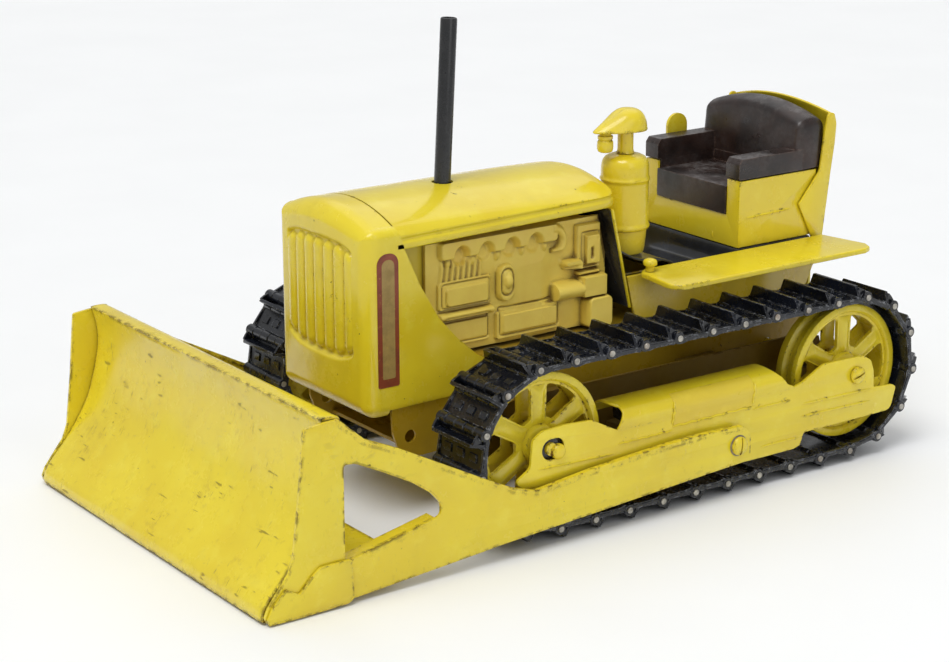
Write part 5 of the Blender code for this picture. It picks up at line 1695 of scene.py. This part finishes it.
NXB = 60
prof_n = 26
for i in range(NXB + 1):
    u = -1 + 2 * i / NXB
    x = 36.5 * u
    e = max(0.0, (abs(u) - 0.93) / 0.07)
    shr = 1 - (1 - math.sqrt(max(0.0, 1 - e * e))) * 0.5
    zt = cush_top(x)
    row = []
    loop = []
    yf, yb = 164.2, 183.6
    zlow = 133.4
    hh = zt - zlow
    # closed loop in (y, z): front up, over the rolled top, down the back
    base_loop = [(yf + 0.3, zlow), (yf - 0.3, zlow + 0.35 * hh), (yf + 0.4, zlow + 0.62 * hh)]
    yroll, rr_ = yf + 9.2, 8.6
    for k in range(13):
        a = math.radians(180 - 180 * k / 12)
        base_loop.append((yroll + 0.6 + rr_ * 1.05 * math.cos(a), zt - rr_ * 0.62 + rr_ * 0.62 * math.sin(a)))
    base_loop += [(yb - 0.6, zlow + 0.5 * hh), (yb - 2.6, zlow + 0.1), ]
    cy_ = sum(p[0] for p in base_loop) / len(base_loop)
    cz_ = sum(p[1] for p in base_loop) / len(base_loop)
    rows.append([(x, cy_ + (p[0] - cy_) * shr, cz_ + (p[1] - cz_) * (0.35 + 0.65 * shr) if p[1] > zlow + 1 else p[1]) for p in base_loop])
cu = grid("cu", rows, close=True)
bm = bmesh.new()
bm.from_mesh(cu.data)
bmesh.ops.holes_fill(bm, edges=bm.edges, sides=0)
bmesh.ops.recalc_face_normals(bm, faces=bm.faces)
bm.to_mesh(cu.data)
bm.free()
lowbk = box("lb", (-34.4, 164.0, 122.6), (34.4, 176.2, 134.0), 0.4)
cast = merge("cast", [blk, cu, lowbk] + arms)
done(cast, "seat", BODY, ["seat_casting"], 50, name="seat_casting_moulded")

# =====================================================================================
# hand lever
# =====================================================================================
LX, LY, LZ = -40.2, 149.4, 104.6
lv = prism("lv", fil([(LY - 5.0, 103.4, 2), (LY - 4.6, 99.6, 3.6), (LY + 4.6, 99.6, 3.6), (LY + 5.0, 103.4, 2), (LY + 6.6, 135.0, 12),
                      (LY + 6.6, 152.6, 6.5), (LY - 6.6, 152.6, 6.5), (LY - 6.6, 135.0, 12)], 7), "yz", LX - 0.8, LX + 0.8,
           holes=[circ(LY, LZ, 1.8)])
done(soften(lv, 0.45, 3, 40), "yel", "lever", ["hand_lever"], name="hand_lever_pressed")
lp = turned("lp", [(0, 36.8), (1.6, 36.8), (1.6, 41.4), (2.7, 41.5), (2.9, 41.8), (2.7, 42.2), (1.8, 42.5), (0, 42.6)], (0, 0, 0), "x", 36)
lp.data.transform(Matrix.Scale(-1, 4, (1, 0, 0)))
lp.data.flip_normals()
lp.data.transform(Matrix.Translation((0, LY * MM, LZ * MM)))
done(lp, "yel_small", BODY, ["lever_pin"], name="lever_pin_turned")

# =====================================================================================
# decal: a blank label strip on the side of the radiator
# =====================================================================================


def paint(name, col, rough=0.4):
    t = Tree(name)
    n = t.noise(160.0, 5, 0.7)
    fine = t.noise(520.0, 6, 0.75)
    c = t.mix(t.ramp(n, 0.35, 0.7), col, tuple(v * 0.72 for v in col))
    c = t.mix(t.math("MULTIPLY", t.ramp(fine, 0.62, 0.66), 0.8), c, (0.55, 0.38, 0.06))
    t.set("Base Color", c)
    t.set("Roughness", t.ramp(n, 0.3, 0.7, rough * 0.8, rough * 1.3))
    t.set("Normal", t.bump(fine, 0.15, 0.0003))
    return t.m


M["label_border"] = paint("label_border", (0.27, 0.055, 0.022), 0.35)
M["label_field"] = paint("label_field", (0.40, 0.27, 0.08), 0.4)
lab = prism("lab", fil([(-90.8, 66.0, 1), (-79.4, 66.0, 1), (-79.4, 128.4, 5.0), (-90.8, 128.4, 5.0)], 8), "yz", 38.46, 38.66)
# keep it on the flat of the side: the shell rolls away in front of Y -89
lab = soften(lab, 0.08, 1)
f2_ = prism("lab2", fil([(-88.4, 70.0, 0.8), (-81.6, 70.0, 0.8), (-81.6, 125.6, 3.2), (-88.4, 125.6, 3.2)], 8), "yz", 38.6, 38.72)
pair(lab, "side_label_border", "label_border", BODY)
pair(soften(f2_, 0.05, 1), "side_label_field", "label_field", BODY)

# =====================================================================================
# stage, light, camera
# =====================================================================================
st_t = Tree("stage_paper")
nz_ = st_t.noise(9.0, 3, 0.5)
st_t.set("Base Color", st_t.mix(st_t.ramp(nz_, 0.3, 0.7), (0.90, 0.905, 0.905), (0.915, 0.92, 0.92)))
st_t.set("Roughness", 0.55)
st_t.set("Normal", st_t.bump(st_t.noise(400.0, 3, 0.5), 0.03, 0.0002))
floor = grid("paper", [[(x, y, -0.12) for y in np.linspace(-9000, 9000, 3)] for x in np.linspace(-9000, 9000, 3)])
floor = face_up(floor, lambda q: q.calc_center_median().z, (0, 0, 1))
floor.data.materials.append(st_t.m)

world = bpy.data.worlds.new("studio")
bpy.context.scene.world = world
world.use_nodes = True
bg = world.node_tree.nodes["Background"]
bg.inputs[0].default_value = (0.97, 0.985, 1.0, 1)
bg.inputs[1].default_value = 0.47


def area(name, at, target, size, power, col=(1, 1, 1), size_y=None):
    d = bpy.data.lights.new(name, "AREA")
    d.energy = power
    d.color = col
    d.shape = "RECTANGLE"
    d.size = size
    d.size_y = size_y or size
    o = bpy.data.objects.new(name, d)
    COL.objects.link(o)
    o.location = at
    v = Vector(target) - Vector(at)
    o.rotation_euler = v.to_track_quat("-Z", "Y").to_euler()
    return o


def sun(name, direction, strength, angle, col=(1, 1, 1)):
    d = bpy.data.lights.new(name, "SUN")
    d.energy = strength
    d.angle = math.radians(angle)
    d.color = col
    o = bpy.data.objects.new(name, d)
    COL.objects.link(o)
    o.rotation_euler = Vector(direction).to_track_quat("-Z", "Y").to_euler()
    return o


sun("key", (-0.18, 0.42, -1.0), 1.62, 34)
sun("back", (0.5, -0.35, -1.0), 0.52, 60)
area("side_box", (1.1, -0.05, 0.75), (0, 0, 0.09), 0.55, 1.6, size_y=0.9)

cam_d = bpy.data.cameras.new("camera")
cam_d.sensor_width = 36
cam_d.lens = 86.63
cam_d.clip_start = 0.01
cam_d.clip_end = 50
cam = bpy.data.objects.new("camera", cam_d)
COL.objects.link(cam)
az, el, roll = math.radians(54.54), math.radians(16.51), math.radians(-0.137)
fwd = Vector((-math.sin(az) * math.cos(el), math.cos(az) * math.cos(el), -math.sin(el)))
q = fwd.to_track_quat("-Z", "Y")
cam.matrix_world = Matrix.Translation((0.8622, -0.6243, 0.3841)) @ q.to_matrix().to_4x4() @ Matrix.Rotation(roll, 4, "Z")
bpy.context.scene.camera = cam
bpy.context.scene.view_settings.view_transform = "Standard"
bpy.context.scene.view_settings.look = "None"

# =====================================================================================
# final update
# =====================================================================================
bpy.context.view_layer.update()
